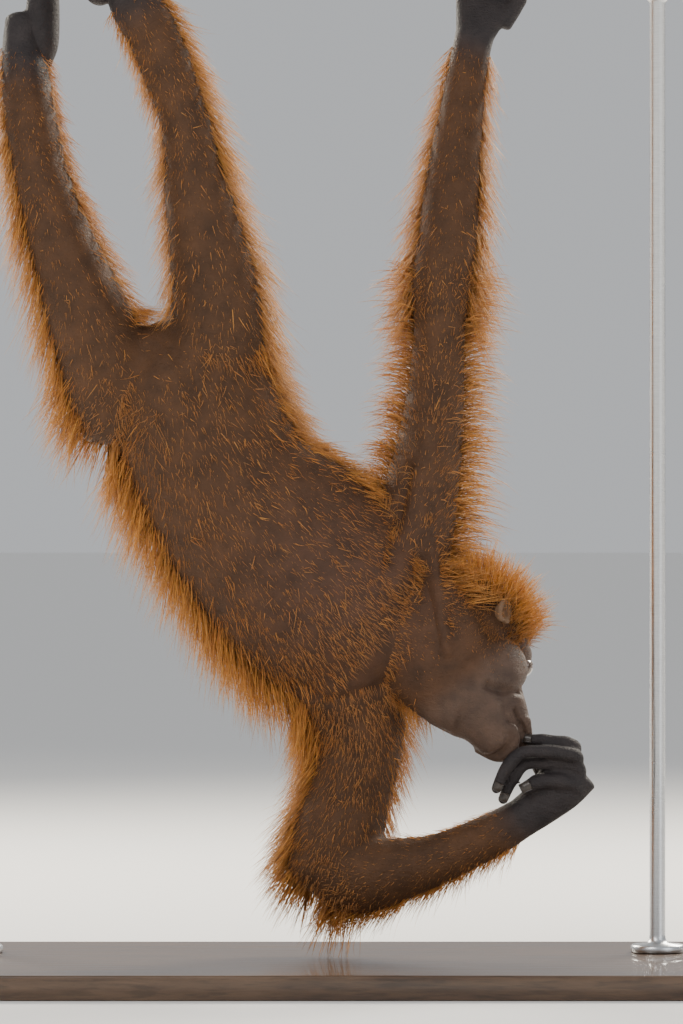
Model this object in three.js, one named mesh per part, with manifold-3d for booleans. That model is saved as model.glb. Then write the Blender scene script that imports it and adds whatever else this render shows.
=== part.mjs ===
// A young orangutan hanging from a cut branch by both feet and its right hand, left hand at its
// mouth, held up by a flat base and two rods. Millimetres, +Z up, the viewer's side is -Y.
import * as THREE from 'three';
import Module from 'manifold-3d';

const wasm = await Module();
wasm.setup();

const gap = 0.3;          // left between parts that meet
const view = { middle: 341.5, top: 982 };   // front-view layout: its middle line and its height

const V = (x, y, z) => new THREE.Vector3(x, y, z);

/** A point laid out on the front view: mm across from its left edge, mm down from its top, mm back. */
const at = (across, down, back) => V(across - view.middle, back, view.top - down);

/** A repeatable run of numbers from 0 to 1. */
function dice(seed) {
  let s = seed >>> 0;
  return () => {
    s = (s + 0x6d2b79f5) >>> 0;
    let t = Math.imul(s ^ (s >>> 15), 1 | s);
    t = (t + Math.imul(t ^ (t >>> 7), 61 | t)) ^ t;
    return ((t ^ (t >>> 14)) >>> 0) / 4294967296;
  };
}

/** A closed solid through rings that turn counterclockwise about the way they run, shut at `tip` if given. */
function solid(rings, tip = null) {
  const n = rings[0].length;
  const points = rings.flat();
  const middle = (ring) => ring.reduce((m, p) => m.addScaledVector(p, 1 / n), V(0, 0, 0));
  const first = points.push(middle(rings[0])) - 1;
  const last = points.push(tip ?? middle(rings.at(-1))) - 1;
  const faces = [];
  for (let i = 0; i < rings.length - 1; i++) {
    for (let j = 0; j < n; j++) {
      const k = (j + 1) % n;
      const a = i * n + j, b = i * n + k, c = a + n, d = b + n;
      if ((i + j) % 2) faces.push(a, b, d, a, d, c);
      else faces.push(a, b, c, b, d, c);
    }
  }
  const end = (rings.length - 1) * n;
  for (let j = 0; j < n; j++) {
    const k = (j + 1) % n;
    faces.push(first, k, j, last, end + j, end + k);
  }
  return new wasm.Manifold(new wasm.Mesh({
    numProp: 3,
    vertProperties: new Float32Array(points.flatMap((p) => [p.x, p.y, p.z])),
    triVerts: new Uint32Array(faces),
  }));
}

/** One oval ring: half sizes a along `side` and b across it, round `way`. */
function oval(centre, way, side, a, b, n) {
  const s = side.clone().addScaledVector(way, -side.dot(way)).normalize();
  const u = V(0, 0, 0).crossVectors(way, s);
  return Array.from({ length: n }, (_, j) => {
    const turn = (2 * Math.PI * j) / n;
    return centre.clone().addScaledVector(s, a * Math.cos(turn)).addScaledVector(u, b * Math.sin(turn));
  });
}

/** The smooth run through rows of [across, down, back, half a, half b]; `facing` sets all its rings
 * parallel. */
function run(rows, place = at, facing = null) {
  const line = new THREE.CatmullRomCurve3(rows.map((r) => place(r[0], r[1], r[2])), false, 'centripetal');
  const size = new THREE.CatmullRomCurve3(rows.map((r) => V(r[3], r[4], 0)), false, 'centripetal');
  return (t) => {
    const s = size.getPoint(t);
    return { p: line.getPoint(t), way: facing ? facing.clone() : line.getTangent(t).normalize(), a: s.x,
      b: s.y };
  };
}

/** A loft along a run. An end given as 0 is cut flat, else it is domed by that share of its size. */
function loft(spec) {
  const { rows, place, side, n = 14, steps = rows.length - 1, from = 0, to = 1, ends = [0.7, 0.7] } = spec;
  const road = run(rows, place, spec.facing);
  return (grow = 0) => {
    const rings = [];
    const dome = (s, sign, tall) => (n > 8 ? [0.5, 0.88] : [0.72]).map((k) => {
      const shrink = Math.sqrt(1 - k * k);
      return oval(s.p.clone().addScaledVector(s.way, sign * k * (tall * Math.min(s.a, s.b) + grow)), s.way,
        side, (s.a + grow) * shrink, (s.b + grow) * shrink, n);
    });
    for (let i = 0; i <= steps; i++) {
      const s = road(from + ((to - from) * i) / steps);
      if (i === 0 && !ends[0]) s.p.addScaledVector(s.way, gap / 2 - grow);
      if (i === steps && !ends[1]) s.p.addScaledVector(s.way, grow - gap / 2);
      if (i === 0 && ends[0]) rings.push(...dome(s, -1, ends[0]).reverse());
      rings.push(oval(s.p, s.way, side, s.a + grow, s.b + grow, n));
      if (i === steps && ends[1]) rings.push(...dome(s, 1, ends[1]));
    }
    return solid(rings);
  };
}

/** An egg with half sizes [x, y, z] along three axes. */
function egg(centre, half, axes, n = 14, m = 8) {
  return (grow = 0) => {
    const rings = [];
    for (let i = 1; i < m; i++) {
      const a = Math.PI * (i / m);
      const c = centre.clone().addScaledVector(axes[0], -(half[0] + grow) * Math.cos(a));
      rings.push(oval(c, axes[0], axes[1], (half[1] + grow) * Math.sin(a), (half[2] + grow) * Math.sin(a),
        n));
    }
    return solid(rings);
  };
}

/** A ring-shaped roll of radius `thick` round `centre`, its hole facing along `way`. */
function roll(centre, way, side, wide, tall, thick, n = 14, m = 6) {
  const s = side.clone().addScaledVector(way, -side.dot(way)).normalize();
  const u = V(0, 0, 0).crossVectors(way, s);
  return (grow = 0) => {
    const points = [], faces = [];
    for (let i = 0; i < n; i++) {
      const a = (2 * Math.PI * i) / n;
      const out = s.clone().multiplyScalar(Math.cos(a)).addScaledVector(u, Math.sin(a));
      const c = centre.clone().addScaledVector(s, wide * Math.cos(a)).addScaledVector(u, tall * Math.sin(a));
      for (let j = 0; j < m; j++) {
        const b = (2 * Math.PI * j) / m;
        points.push(c.clone().addScaledVector(out, (thick + grow) * Math.cos(b)).addScaledVector(way,
          (thick + grow) * Math.sin(b)));
        const k = (i + 1) % n, l = (j + 1) % m;
        faces.push(i * m + j, k * m + j, k * m + l, i * m + j, k * m + l, i * m + l);
      }
    }
    return new wasm.Manifold(new wasm.Mesh({ numProp: 3,
      vertProperties: new Float32Array(points.flatMap((p) => [p.x, p.y, p.z])),
        triVerts: new Uint32Array(faces) }));
  };
}

/** The sum of several pieces, each grown by `grow`. */
const sum = (pieces, grow = 0) => pieces.map((p) => p(grow)).reduce((a, b) => a.add(b));

/** The largest body of a solid. */
function largest(m) {
  const bodies = m.decompose();
  return bodies.length < 2 ? m : bodies.reduce((a, b) => (size(a) > size(b) ? a : b));
}

/** The space a solid fills, from its triangles. */
function size(m) {
  const { vertProperties: v, triVerts: t, numProp: w } = m.getMesh();
  let total = 0;
  for (let i = 0; i < t.length; i += 3) {
    const [a, b, c] = [0, 1, 2].map((k) => V(v[t[i + k] * w], v[t[i + k] * w + 1], v[t[i + k] * w + 2]));
    total += a.dot(V(0, 0, 0).crossVectors(b, c)) / 6;
  }
  return total;
}

// Body runs: rows of [across, down, back, half a, half b].
const torso = { side: V(0.745, 0, 0.667), n: 16, rows: [
  [166, 345, 2, 56, 50], [178, 368, 0, 84, 66], [190, 398, -2, 88, 72], [206, 440, -3, 88, 76],
  [229, 487, -2, 90, 80], [256, 521, 0, 98, 84], [286, 553, 4, 105, 88], [318, 588, 8, 106, 90],
  [348, 619, 10, 98, 86], [376, 645, 12, 76, 72]] };
const neckRun = { side: V(0.45, 0, 0.9), facing: V(0.86, -0.28, -0.43).normalize(), n: 14, rows: [
  [386, 632, 14, 80, 62], [408, 628, 8, 74, 58], [428, 642, -18, 68, 42], [448, 664, -30, 60, 34],
  [470, 690, -42, 46, 26]] };
const armRight = { side: V(1, 0, 0), n: 12, rows: [
  [392, 592, 12, 50, 46], [408, 550, 12, 45, 46], [418, 506, 14, 40, 42], [427, 462, 18, 35, 38],
  [433, 420, 22, 31, 34], [437, 380, 28, 28, 31], [440, 330, 34, 26, 29], [442, 284, 40, 31, 31],
  [448, 240, 48, 30, 29], [452, 200, 56, 29, 27], [457, 150, 66, 26, 24], [464, 100, 76, 22, 20],
  [471, 55, 84, 20, 17], [477, 27, 90, 20, 15]] };
const upperArmLeft = { side: V(1, 0, 0), n: 12, rows: [
  [334, 636, 16, 54, 60], [350, 686, 18, 54, 60], [358, 730, 22, 48, 52], [356, 765, 22, 43, 45],
  [348, 800, 22, 43, 41], [336, 838, 14, 46, 40], [324, 872, 10, 40, 36]] };
const forearmLeft = { side: V(-0.3, 0, 0.95), n: 12, rows: [
  [330, 876, 8, 36, 34], [365, 876, 2, 38, 34], [404, 868, -6, 31, 29], [441, 857, -14, 25, 24],
  [491, 834, -24, 22, 19], [523, 815, -29, 20, 15]] };
const legLeft = { side: V(1, 0, 0), n: 12, rows: [
  [128, 418, 0, 50, 50], [112, 378, -8, 50, 52], [97, 338, -16, 45, 48], [84, 303, -22, 41, 44],
  [69, 260, -28, 35, 38], [56, 224, -30, 31, 33], [48, 198, -28, 29, 31], [41, 172, -24, 27, 30],
  [33, 130, -14, 27, 29], [27, 90, -2, 25, 26], [23, 52, 10, 22, 22], [24, 20, 14, 20, 19]] };
const legRight = { side: V(1, 0, 0), n: 12, rows: [
  [212, 392, -4, 52, 54], [216, 352, -14, 50, 54], [217, 318, -24, 47, 50], [215, 285, -32, 43, 46],
  [209, 250, -40, 40, 42], [203, 218, -46, 36, 38], [196, 184, -48, 31, 34], [191, 150, -48, 27, 31],
  [183, 113, -50, 25, 30], [169, 73, -53, 26, 28], [152, 34, -56, 26, 25], [138, 10, -58, 26, 22],
  [127, -12, -58, 22, 20]] };
const handRight = { side: V(1, 0, 0), n: 10, ends: [0, 0.5], rows: [
  [477, 27, 90, 20, 15], [484, 2, 98, 27, 14], [489, -20, 104, 32, 13], [490, -42, 106, 33, 12]] };
const handLeft = { side: V(0.6, 0, -0.8), n: 10, ends: [0, 0.5], rows: [
  [523, 815, -29, 20, 15], [540, 802, -32, 22, 15], [558, 785, -35, 26, 14], [570, 769, -36, 29, 13]] };
const footLeft = { side: V(1, 0, 0), n: 10, rows: [
  [40, 60, 14, 12, 15], [42, 42, 14, 16, 20], [42, 12, 14, 17, 21], [43, -20, 14, 15, 24],
  [45, -50, 14, 13, 28], [47, -72, 14, 10, 29]], ends: [0.7, 0.4] };
const footRight = { side: V(1, 0, 0), n: 10, rows: [
  [100, 2, -58, 12, 15], [104, -9, -58, 16, 19], [110, -27, -58, 16, 22], [113, -50, -58, 13, 27],
  [111, -74, -58, 11, 29]], ends: [0.7, 0.4] };

// The perch: a main limb across, and a side limb towards the viewer that the feet hold.
const limb = { side: V(0, 1, 0), n: 12, ends: [0, 0], rows: [
  [-55, -78, 72, 23, 23], [20, -74, 73, 22, 22], [78, -71, 72, 22, 22], [200, -66, 74, 20, 20],
  [330, -61, 73, 20, 20], [490, -57, 72, 19, 19], [600, -54, 73, 18, 18], [690, -50, 70, 17, 17]] };
const sideLimb = { side: V(1, 0, 0), n: 12, ends: [0.4, 0], rows: [
  [80, -71, 66, 20, 20], [78, -70, 30, 20, 20], [78, -70, -60, 19, 19], [82, -73, -135, 16, 16]] };

/** A toe or finger row list that winds round a limb: `place(turn)` gives the row's point. */
const wind = (turns, place, thick) => turns.map((t, i) => {
  const r = thick[0] + ((thick[1] - thick[0]) * i) / (turns.length - 1);
  return [...place((t * Math.PI) / 180), r, r];
});

const hold = { x: 78, down: -70, reach: 28.2 };   // toe middles round the side limb
const toePoint = (back, out) => (a) => [hold.x + (hold.reach + out) * Math.cos(a),
  hold.down - (hold.reach + out) * Math.sin(a), back];
const gripPoint = (across) => (a) => [across, -57 - 28 * Math.sin(a), 72 + 28 * Math.cos(a)];
const toes = {};
[-21.6, -7.2, 7.2, 21.6].forEach((dy, i) => {
  const reach = [0, 8, 4, -8][i];
  toes[`toe_${i + 2}_left`] = { side: V(0, 1, 0), n: 6,
    rows: wind([188, 145, 100, 55, 20 - reach, -8 - reach], toePoint(14 + dy, 0), [7, 6]) };
  toes[`toe_${i + 2}_right`] = { side: V(0, 1, 0), n: 6,
    rows: wind([-8, 35, 80, 125, 160 + reach, 188 + reach], toePoint(-58 + dy, 0), [7, 6]) };
});
toes.big_toe_left = { side: V(0, 1, 0), n: 6, rows: [[44, -22, -7, 11, 11], [49, -42, -11, 9.5, 9.5],
  ...wind([222, 250, 280], toePoint(-13, 1), [8.5, 7])] };
toes.big_toe_right = { side: V(0, 1, 0), n: 6, rows: [[112, -26, -77, 11, 11], [108, -42, -82, 9.5, 9.5],
  ...wind([-42, -70, -100], toePoint(-84, 1), [8.5, 7])] };
const fingers = {};
[['index', 24], ['middle', 8], ['ring', -8], ['little', -24]].forEach(([name, dx], i) => {
  const more = [0, 14, 8, -12][i];
  fingers[`${name}_finger_right`] = { side: V(1, 0, 0), n: 6,
    rows: wind([-25, 15, 55, 95, 135, 172 + more / 2, 205 + more], gripPoint(490 + dx), [7.8, 6]) };
});
fingers.thumb_right = { side: V(1, 0, 0), n: 6,
  rows: [[504, 14, 95, 12, 10], [517, -4, 96, 10, 9.5], [525, -22, 97, 8.5, 8.5], [528, -36, 98, 7, 7]] };
fingers.index_finger_left = { side: V(0, 0, 1), n: 6,
  rows: [[568, 754, -37, 9, 8.5], [572, 746, -40, 8, 8], [560, 741, -43, 7, 7], [543, 739, -44, 6.5, 6.5],
  [526, 738, -41, 5.6, 5.6]] };
fingers.middle_finger_left = { side: V(0, 0, 1), n: 6,
  rows: [[572, 764, -40, 9, 8.5], [574, 755, -48, 7.5, 7.5], [562, 751, -54, 7, 7], [540, 749, -57, 6.5, 6.5],
  [519, 751, -57, 6.5, 6.5], [504, 767, -56, 6.2, 6.2], [495, 786, -54, 5.2, 5.2]] };
fingers.ring_finger_left = { side: V(0, 0, 1), n: 6,
  rows: [[576, 775, -38, 9, 8.5], [576, 766, -43, 7.5, 7.5], [562, 762, -44, 7, 7], [541, 761, -44, 6.5, 6.5],
  [522, 763, -44, 6.5, 6.5], [510, 779, -44, 6.2, 6.2], [502, 797, -43, 5.2, 5.2]] };
fingers.little_finger_left = { side: V(0, 0, 1), n: 6,
  rows: [[578, 787, -38, 9, 9], [566, 780, -46, 8, 8], [540, 779, -49, 7.8, 7.8],
  [525, 785, -49, 6.6, 6.6]] };
fingers.thumb_left = { side: V(0, 0, 1), n: 6,
  rows: [[552, 796, -24, 10, 9], [547, 780, -15, 8.5, 8.5], [538, 766, -12, 7, 7]] };

// The head, in its own axes: forward to the lips, up to the crown, right to the right ear.
const face = { forward: V(0.60, 0.13, -0.78).normalize(), origin: at(467.5, 638.5, 0), scale: 0.9 };
face.right = V(0, 0, 0).crossVectors(face.forward, V(0.36, 0.83, 0.43)).normalize();
face.up = V(0, 0, 0).crossVectors(face.right, face.forward);
const axes = [face.forward, face.up, face.right];

/** A point of the head: mm forward, up and right of the middle between the ear holes. */
const head = (f, u, r) => face.origin.clone().addScaledVector(face.forward, f * face.scale)
  .addScaledVector(face.up, u * face.scale).addScaledVector(face.right, r * face.scale);
const lump = (f, u, r, half, n = 14, m = 8) => egg(head(f, u, r), half.map((h) => h * face.scale), axes, n,
  m);
const headLoft = (rows, extra = {}) => loft({ rows, place: head, side: face.right, n: 10, ...extra });
const both = (make) => [make(1), make(-1)];
const eyeWay = (side) => face.forward.clone().multiplyScalar(0.93).addScaledVector(face.right,
  0.36 * side).normalize();
const eye = (side) => egg(head(61, 14, 27 * side), [10.5, 10.5, 10.5], axes, 10, 5);

const headPieces = [
  lump(0, 30, 0, [64, 54, 54], 14, 7), lump(48, 20, 0, [26, 24, 44], 10, 5),
  ...both((s) => lump(44, -22, 30 * s, [34, 34, 26], 10, 5)),
  ...both((s) => lump(54, 30, 26 * s, [15, 8, 22], 8, 4)),
  headLoft([[30, -34, 0, 44, 38], [62, -42, 0, 42, 36], [90, -50, 0, 36, 28], [108, -54, 0, 30, 20]],
    { ends: [0.5, 0.7] }),
  headLoft([[16, -56, 0, 40, 24], [50, -72, 0, 36, 20], [80, -84, 0, 28, 16], [98, -88, 0, 20, 12]],
    { ends: [0.5, 0.8] }),
  headLoft([[100, -56, -30, 7, 8], [118, -57, -16, 9, 9], [124, -58, 0, 10, 9.5], [118, -57, 16, 9, 9],
    [100, -56, 30, 7, 8]], { side: face.up, n: 8 }),
  headLoft([[94, -80, -25, 6, 7], [112, -79, -13, 8, 8], [117, -79, 0, 9, 8.5], [112, -79, 13, 8, 8],
    [94, -80, 25, 6, 7]], { side: face.up, n: 8 }),
  headLoft([[58, 8, 0, 9, 9], [80, -14, 0, 9, 8], [98, -28, 0, 14, 7]], { ends: [0.6, 0.6], n: 8 }),
  ...both((s) => lump(100, -32, 10 * s, [9, 6, 8], 8, 4)),
  ...both((s) => roll(head(67, 14, 29.5 * s), eyeWay(s), face.right, 11.5, 7.6, 3.1, 10, 4)),
];
const headCuts = [
  lump(120, -68, 0, [34, 1.8, 34], 10, 4),
  ...both((s) => lump(112, -31, 7.5 * s, [8, 3.6, 4.2], 6, 4)),
];
const ear = (s) => [
  roll(head(-4, 4, 60 * s), face.right.clone().multiplyScalar(s).addScaledVector(face.forward,
    0.35).normalize(), face.up, 17, 11, 3.6, 10, 4),
  lump(-4, 3, 56 * s, [12, 18, 5], 8, 4), lump(6, -5, 59 * s, [4.5, 6, 5], 6, 4),
];
const earCuts = (s) => [lump(-2, 3, 63.5 * s, [6.5, 11, 6], 8, 4)];

/** A flat, tapering, bending lock of hair from `root`, lying along `lay` and standing off along `out`. */
function lock(root, out, lay, long, wide, thick, drop, curl) {
  const wideWay = V(0, 0, 0).crossVectors(lay, out).normalize();
  const shape = [[-0.14, 0.8, 0.9], [0.3, 1, 1], [0.7, 0.66, 0.75], [1, 0, 0]];
  return (grow = 0) => {
    const line = shape.map(([s]) => root.clone().addScaledVector(lay, long * s)
      .addScaledVector(wideWay, curl * long * s * s).add(V(0, 0, -drop * long * s * s)));
    const rings = shape.map(([, w, t], i) => {
      const way = line[Math.min(i + 1, 3)].clone().sub(line[Math.max(i - 1, 0)]).normalize();
      return oval(line[i], way, wideWay, (wide / 2) * w + grow, (thick / 2) * t + grow, 4);
    });
    rings[0].forEach((p) => p.addScaledVector(lay, -grow));
    const last = line[3].clone().sub(line[2]).normalize();
    return solid(rings.slice(0, 3), line[3].clone().addScaledVector(last, 7 * grow));
  };
}

/** Locks in rows over part of a run: `band` gives where they start and how they lie. */
function locks(spec, band, seed) {
  const road = run(spec.rows, spec.place, spec.facing);
  const roll01 = dice(seed);
  const out = [];
  const { from, to, around, rows, across, long, wide, lift, flow = 1, drop = 0.15, sink = 9, spare } = band;
  for (let i = 0; i < rows; i++) {
    for (let j = 0; j < across; j++) {
      const t = from + ((to - from) * (i + 0.5 + (roll01() - 0.5) * 0.5)) / rows;
      const column = j + (i % 2 ? 0.75 : 0.25) + (roll01() - 0.5) * 0.4;
      const turn = ((around[0] + ((around[1] - around[0]) * column) / across) * Math.PI) / 180;
      const s = road(Math.min(Math.max(t, 0), 1));
      const side = spec.side.clone().addScaledVector(s.way, -spec.side.dot(s.way)).normalize();
      const up = V(0, 0, 0).crossVectors(s.way, side);
      const rim = s.p.clone().addScaledVector(side, s.a * Math.cos(turn)).addScaledVector(up,
        s.b * Math.sin(turn));
      const normal = side.clone().multiplyScalar(Math.cos(turn) / s.a).addScaledVector(up,
        Math.sin(turn) / s.b).normalize();
      const lay = s.way.clone().multiplyScalar(flow).addScaledVector(normal,
        lift * (0.8 + 0.4 * roll01())).normalize();
      if (spare && spare(rim, normal)) { roll01(); roll01(); roll01(); continue; }
      const grown = long * (0.8 + 0.4 * roll01());
      out.push(lock(rim.clone().addScaledVector(normal, -sink), normal, lay, grown,
        wide * (0.85 + 0.3 * roll01()), 9, drop, (roll01() - 0.5) * 0.3));
    }
  }
  return out;
}

const part = (spec, from, to, ends, steps) => loft({ ...spec, from, to, ends, steps });
const fur = new THREE.Color(0.60, 0.27, 0.10), thin = new THREE.Color(0.42, 0.22, 0.12);
const skin = new THREE.Color(0.20, 0.15, 0.14), dark = new THREE.Color(0.13, 0.10, 0.10);
const bark = new THREE.Color(0.33, 0.25, 0.18), steel = new THREE.Color(0.62, 0.63, 0.64);

// Every node: its name, colour, core pieces, cuts, coat, and the neighbours it meets at a flat end.
const nodes = [];
const add = (name, colour, core, more = {}) => {
  const node = { name, colour, core, cuts: [], coat: [], flat: [], ...more };
  nodes.push(node);
};

const back = { around: [165, 372], lift: 0.55, drop: 0.12 };
add('abdomen', thin, [part(torso, 0.26, 0.56, [0, 0], 4)], { flat: ['pelvis', 'chest'],
  coat: locks(torso, { ...back, from: 0.24, to: 0.52, rows: 2, across: 5, long: 90, wide: 62 }, 11) });
add('pelvis', thin, [part(torso, 0, 0.26, [0.5, 0], 4)], { flat: ['abdomen'],
  coat: locks(torso, { ...back, from: 0.06, to: 0.24, rows: 2, across: 4, long: 82, wide: 64 }, 12) });
add('chest', thin, [part(torso, 0.56, 1, [0, 0.5], 4)], { flat: ['abdomen'],
  coat: locks(torso, { ...back, from: 0.52, to: 0.84, rows: 3, across: 4, long: 86, wide: 68 }, 13) });
for (const [i, s] of [['right', 1], ['left', -1]]) add(`eye_${i}`, new THREE.Color(0.16, 0.09, 0.05),
  [eye(s)]);
add('head', skin, headPieces, { cuts: headCuts });
for (const [i, s] of [['right', 1], ['left', -1]]) add(`ear_${i}`, new THREE.Color(0.45, 0.34, 0.27), ear(s),
  { cuts: earCuts(s) });
add('neck', skin, [loft({ ...neckRun, ends: [0.4, 0.4] })], {
  coat: locks(neckRun, { from: 0.02, to: 0.5, around: [185, 372], rows: 2, across: 3, long: 66, wide: 50,
    lift: 0.6, drop: 0.1 }, 14) });
const elbow = 7 / 13;
add('upper_arm_right', thin, [part(armRight, 0, elbow, [0.5, 0], 7)], { flat: ['forearm_right'],
  coat: locks(armRight, { from: 0.1, to: elbow, around: [-150, 75], rows: 3, across: 3, long: 78, wide: 52,
    lift: 0.75, flow: 1, drop: 0.5 }, 21) });
add('forearm_right', thin, [part(armRight, elbow, 1, [0, 0], 6)], { flat: ['upper_arm_right'],
  coat: locks(armRight, { from: elbow, to: 0.93, around: [-160, 60], rows: 3, across: 3, long: 72, wide: 42,
    lift: 0.5, flow: -1, drop: 0.1 }, 22) });
add('hand_right', dark, [loft({ ...handRight, ends: [0.3, 0.5] })]);
add('upper_arm_left', thin, [loft({ ...upperArmLeft, ends: [0.4, 0.7] })], {
  coat: locks(upperArmLeft, { from: 0.3, to: 0.98, around: [70, 290], rows: 3, across: 3, long: 80, wide: 58,
    lift: 0.5, drop: 0.1 }, 23) });
add('forearm_left', thin, [loft({ ...forearmLeft, ends: [0.4, 0] })], {
  coat: locks(forearmLeft, { from: 0.12, to: 0.85, around: [75, 290], rows: 3, across: 3, long: 72, wide: 42,
    lift: 0.5, flow: -1, drop: 0.15 }, 24) });
add('hand_left', dark, [loft({ ...handLeft, ends: [0.3, 0.5] })]);
const kneeL = 6 / 11, kneeR = 7 / 12;
add('thigh_left', thin, [part(legLeft, 0, kneeL, [0.4, 0], 6)], { flat: ['shank_left'],
  coat: locks(legLeft, { from: 0.12, to: kneeL, around: [60, 280], rows: 3, across: 3, long: 72, wide: 50,
    lift: 0.55, flow: -1, drop: 0.15 }, 31) });
add('shank_left', thin, [part(legLeft, kneeL, 1, [0, 0.5], 5)], { flat: ['thigh_left'],
  coat: locks(legLeft, { from: kneeL, to: 0.88, around: [60, 280], rows: 3, across: 3, long: 72, wide: 44,
    lift: 0.5, flow: -1, drop: 0.1 }, 32) });
add('thigh_right', thin, [part(legRight, 0, kneeR, [0.4, 0], 7)], { flat: ['shank_right'],
  coat: locks(legRight, { from: 0.14, to: kneeR, around: [-110, 75], rows: 3, across: 3, long: 76, wide: 52,
    lift: 0.5, flow: -1, drop: 0.15 }, 33) });
add('shank_right', thin, [part(legRight, kneeR, 1, [0, 0.5], 5)], { flat: ['thigh_right'],
  coat: locks(legRight, { from: kneeR, to: 0.9, around: [-110, 75], rows: 3, across: 3, long: 68, wide: 42,
    lift: 0.5, flow: -1, drop: 0.1 }, 34) });
add('foot_left', dark, [loft(footLeft)]);
add('foot_right', dark, [loft(footRight)]);
for (const [name, spec] of Object.entries({ ...fingers, ...toes })) add(name, dark,
  [loft({ ...spec, ends: [0.5, 0.9] })]);
add('perch_branch', bark, [loft(limb), loft(sideLimb)]);

// The stand: a base plate and two rods that reach up to the perch.
const base = { wide: 820, deep: 440, thick: 24, corner: 60 };
const rod = { half: 8, back: 72, places: { left: -370, right: 320 }, foot: 27, footTall: 9 };
function plate() {
  const w = base.wide / 2, d = base.deep / 2, c = base.corner, ring = [];
  for (const [sx, sy, a0] of [[1, -1, -90], [1, 1, 0], [-1, 1, 90], [-1, -1, 180]]) {
    for (let i = 0; i <= 5; i++) {
      const a = ((a0 + 18 * i) * Math.PI) / 180;
      ring.push([sx * (w - c) + c * Math.cos(a), sy * (d - c) + c * Math.sin(a)]);
    }
  }
  const level = (z, inset) => ring.map(([x, y]) => V(x * (1 - inset / w), y * (1 - inset / d), z));
  return solid([level(0, 0), level(base.thick - 3, 0), level(base.thick, 3)]);
}
add('stand_base', new THREE.Color(0.2, 0.14, 0.1), [() => plate()]);
const straight = (x, y, z) => V(x, y, z);
for (const [name, x] of Object.entries(rod.places)) {
  const z0 = base.thick + gap, topZ = 1046;
  const post = (half, z1, z2) => loft({ place: straight, side: V(1, 0, 0), n: 14, ends: [0, 0],
    rows: [[x, rod.back, z1 - gap / 2, half, half], [x, rod.back, z2, half, half]] });
  add(`stand_rod_${name}`, steel, [post(rod.half, z0, topZ), post(rod.foot, z0, z0 + rod.footTall),
    post(rod.half + 6, topZ - 44, topZ)], { under: true });
}

/** True where two boxes, grown by the gap, meet. */
const near = (a, b) => [0, 1, 2].every((k) => a.min[k] - 1 < b.max[k] && b.min[k] - 1 < a.max[k]);

for (const node of nodes) {
  node.raw = sum(node.core);
  for (const cut of node.cuts) node.raw = node.raw.subtract(cut(0));
  node.box = node.raw.boundingBox();
  const fine = node.cuts.length > 0;   // the head and ears: many small forms, evened out a little
  if (fine) node.raw = node.raw.simplify(1.3);
  node.wide = node.name.startsWith('stand_') ? null : sum(node.core,
    fine ? gap + 0.7 : gap).simplify(fine ? 1.3 : 0.02);
}
nodes.forEach((node, i) => {
  let body = node.raw;
  nodes.slice(0, i).forEach((other) => {
    if (!near(node.box,
      other.box) || node.flat.includes(other.name) || other.name.startsWith('stand_')) return;
    body = body.subtract(other.wide).subtract(other.body);
  });
  node.body = largest(body).simplify(0.1);
});
nodes.forEach((node, i) => {
  if (!node.coat.length) return;
  let hair = sum(node.coat).simplify(0.6);
  node.hairWide = sum(node.coat, gap + 0.6);
  node.hairBox = hair.boundingBox();
  nodes.forEach((other, j) => {
    if (other === node) return;
    if (near(node.hairBox, other.box)) {
      hair = hair.subtract(other.name.startsWith('stand_') ? other.raw : other.wide).subtract(other.body);
      for (const cut of other.cuts) hair = hair.subtract(cut(0));
    }
    if (j < i && other.hairWide && near(node.hairBox, other.hairBox)) hair = hair.subtract(other.hairWide);
  });
  node.body = largest(node.body.add(hair)).simplify(0.1);
});

const group = new THREE.Group();
group.name = 'orangutan';
let total = 0;
for (const node of nodes) {
  const { vertProperties, triVerts, numProp } = node.body.getMesh();
  const points = new Float32Array((vertProperties.length / numProp) * 3);
  for (let i = 0; i < points.length / 3; i++) points.set(vertProperties.subarray(i * numProp,
    i * numProp + 3), i * 3);
  const shape = new THREE.BufferGeometry();
  shape.setAttribute('position', new THREE.BufferAttribute(points, 3));
  shape.setIndex(new THREE.BufferAttribute(new Uint32Array(triVerts), 1));
  shape.computeVertexNormals();
  const metal = node.colour === steel;
  const mesh = new THREE.Mesh(shape,
    new THREE.MeshStandardMaterial({ color: node.coat.length ? fur : node.colour,
    roughness: metal ? 0.3 : 0.8, metalness: metal ? 1 : 0, flatShading: true }));
  mesh.name = node.name;
  group.add(mesh);
  total += triVerts.length / 3;
}
console.error('triangles', total,
  nodes.map((n) => `${n.name}:${n.body.getMesh().triVerts.length / 3}`).join(' '));

export default group;
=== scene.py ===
from copy import copy
import bpy
import numpy as np
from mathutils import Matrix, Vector
from mathutils.bvhtree import BVHTree
from mathutils.kdtree import KDTree


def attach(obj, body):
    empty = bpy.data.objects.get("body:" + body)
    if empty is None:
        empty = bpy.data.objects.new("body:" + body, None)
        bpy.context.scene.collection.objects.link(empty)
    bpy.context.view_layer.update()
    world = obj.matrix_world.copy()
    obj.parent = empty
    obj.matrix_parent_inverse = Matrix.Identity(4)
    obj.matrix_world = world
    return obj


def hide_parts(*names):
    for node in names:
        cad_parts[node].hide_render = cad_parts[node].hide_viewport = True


# A young orangutan hanging from a cut branch: skin, eyes, nails, coat, perch and stand. Metres.

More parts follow.
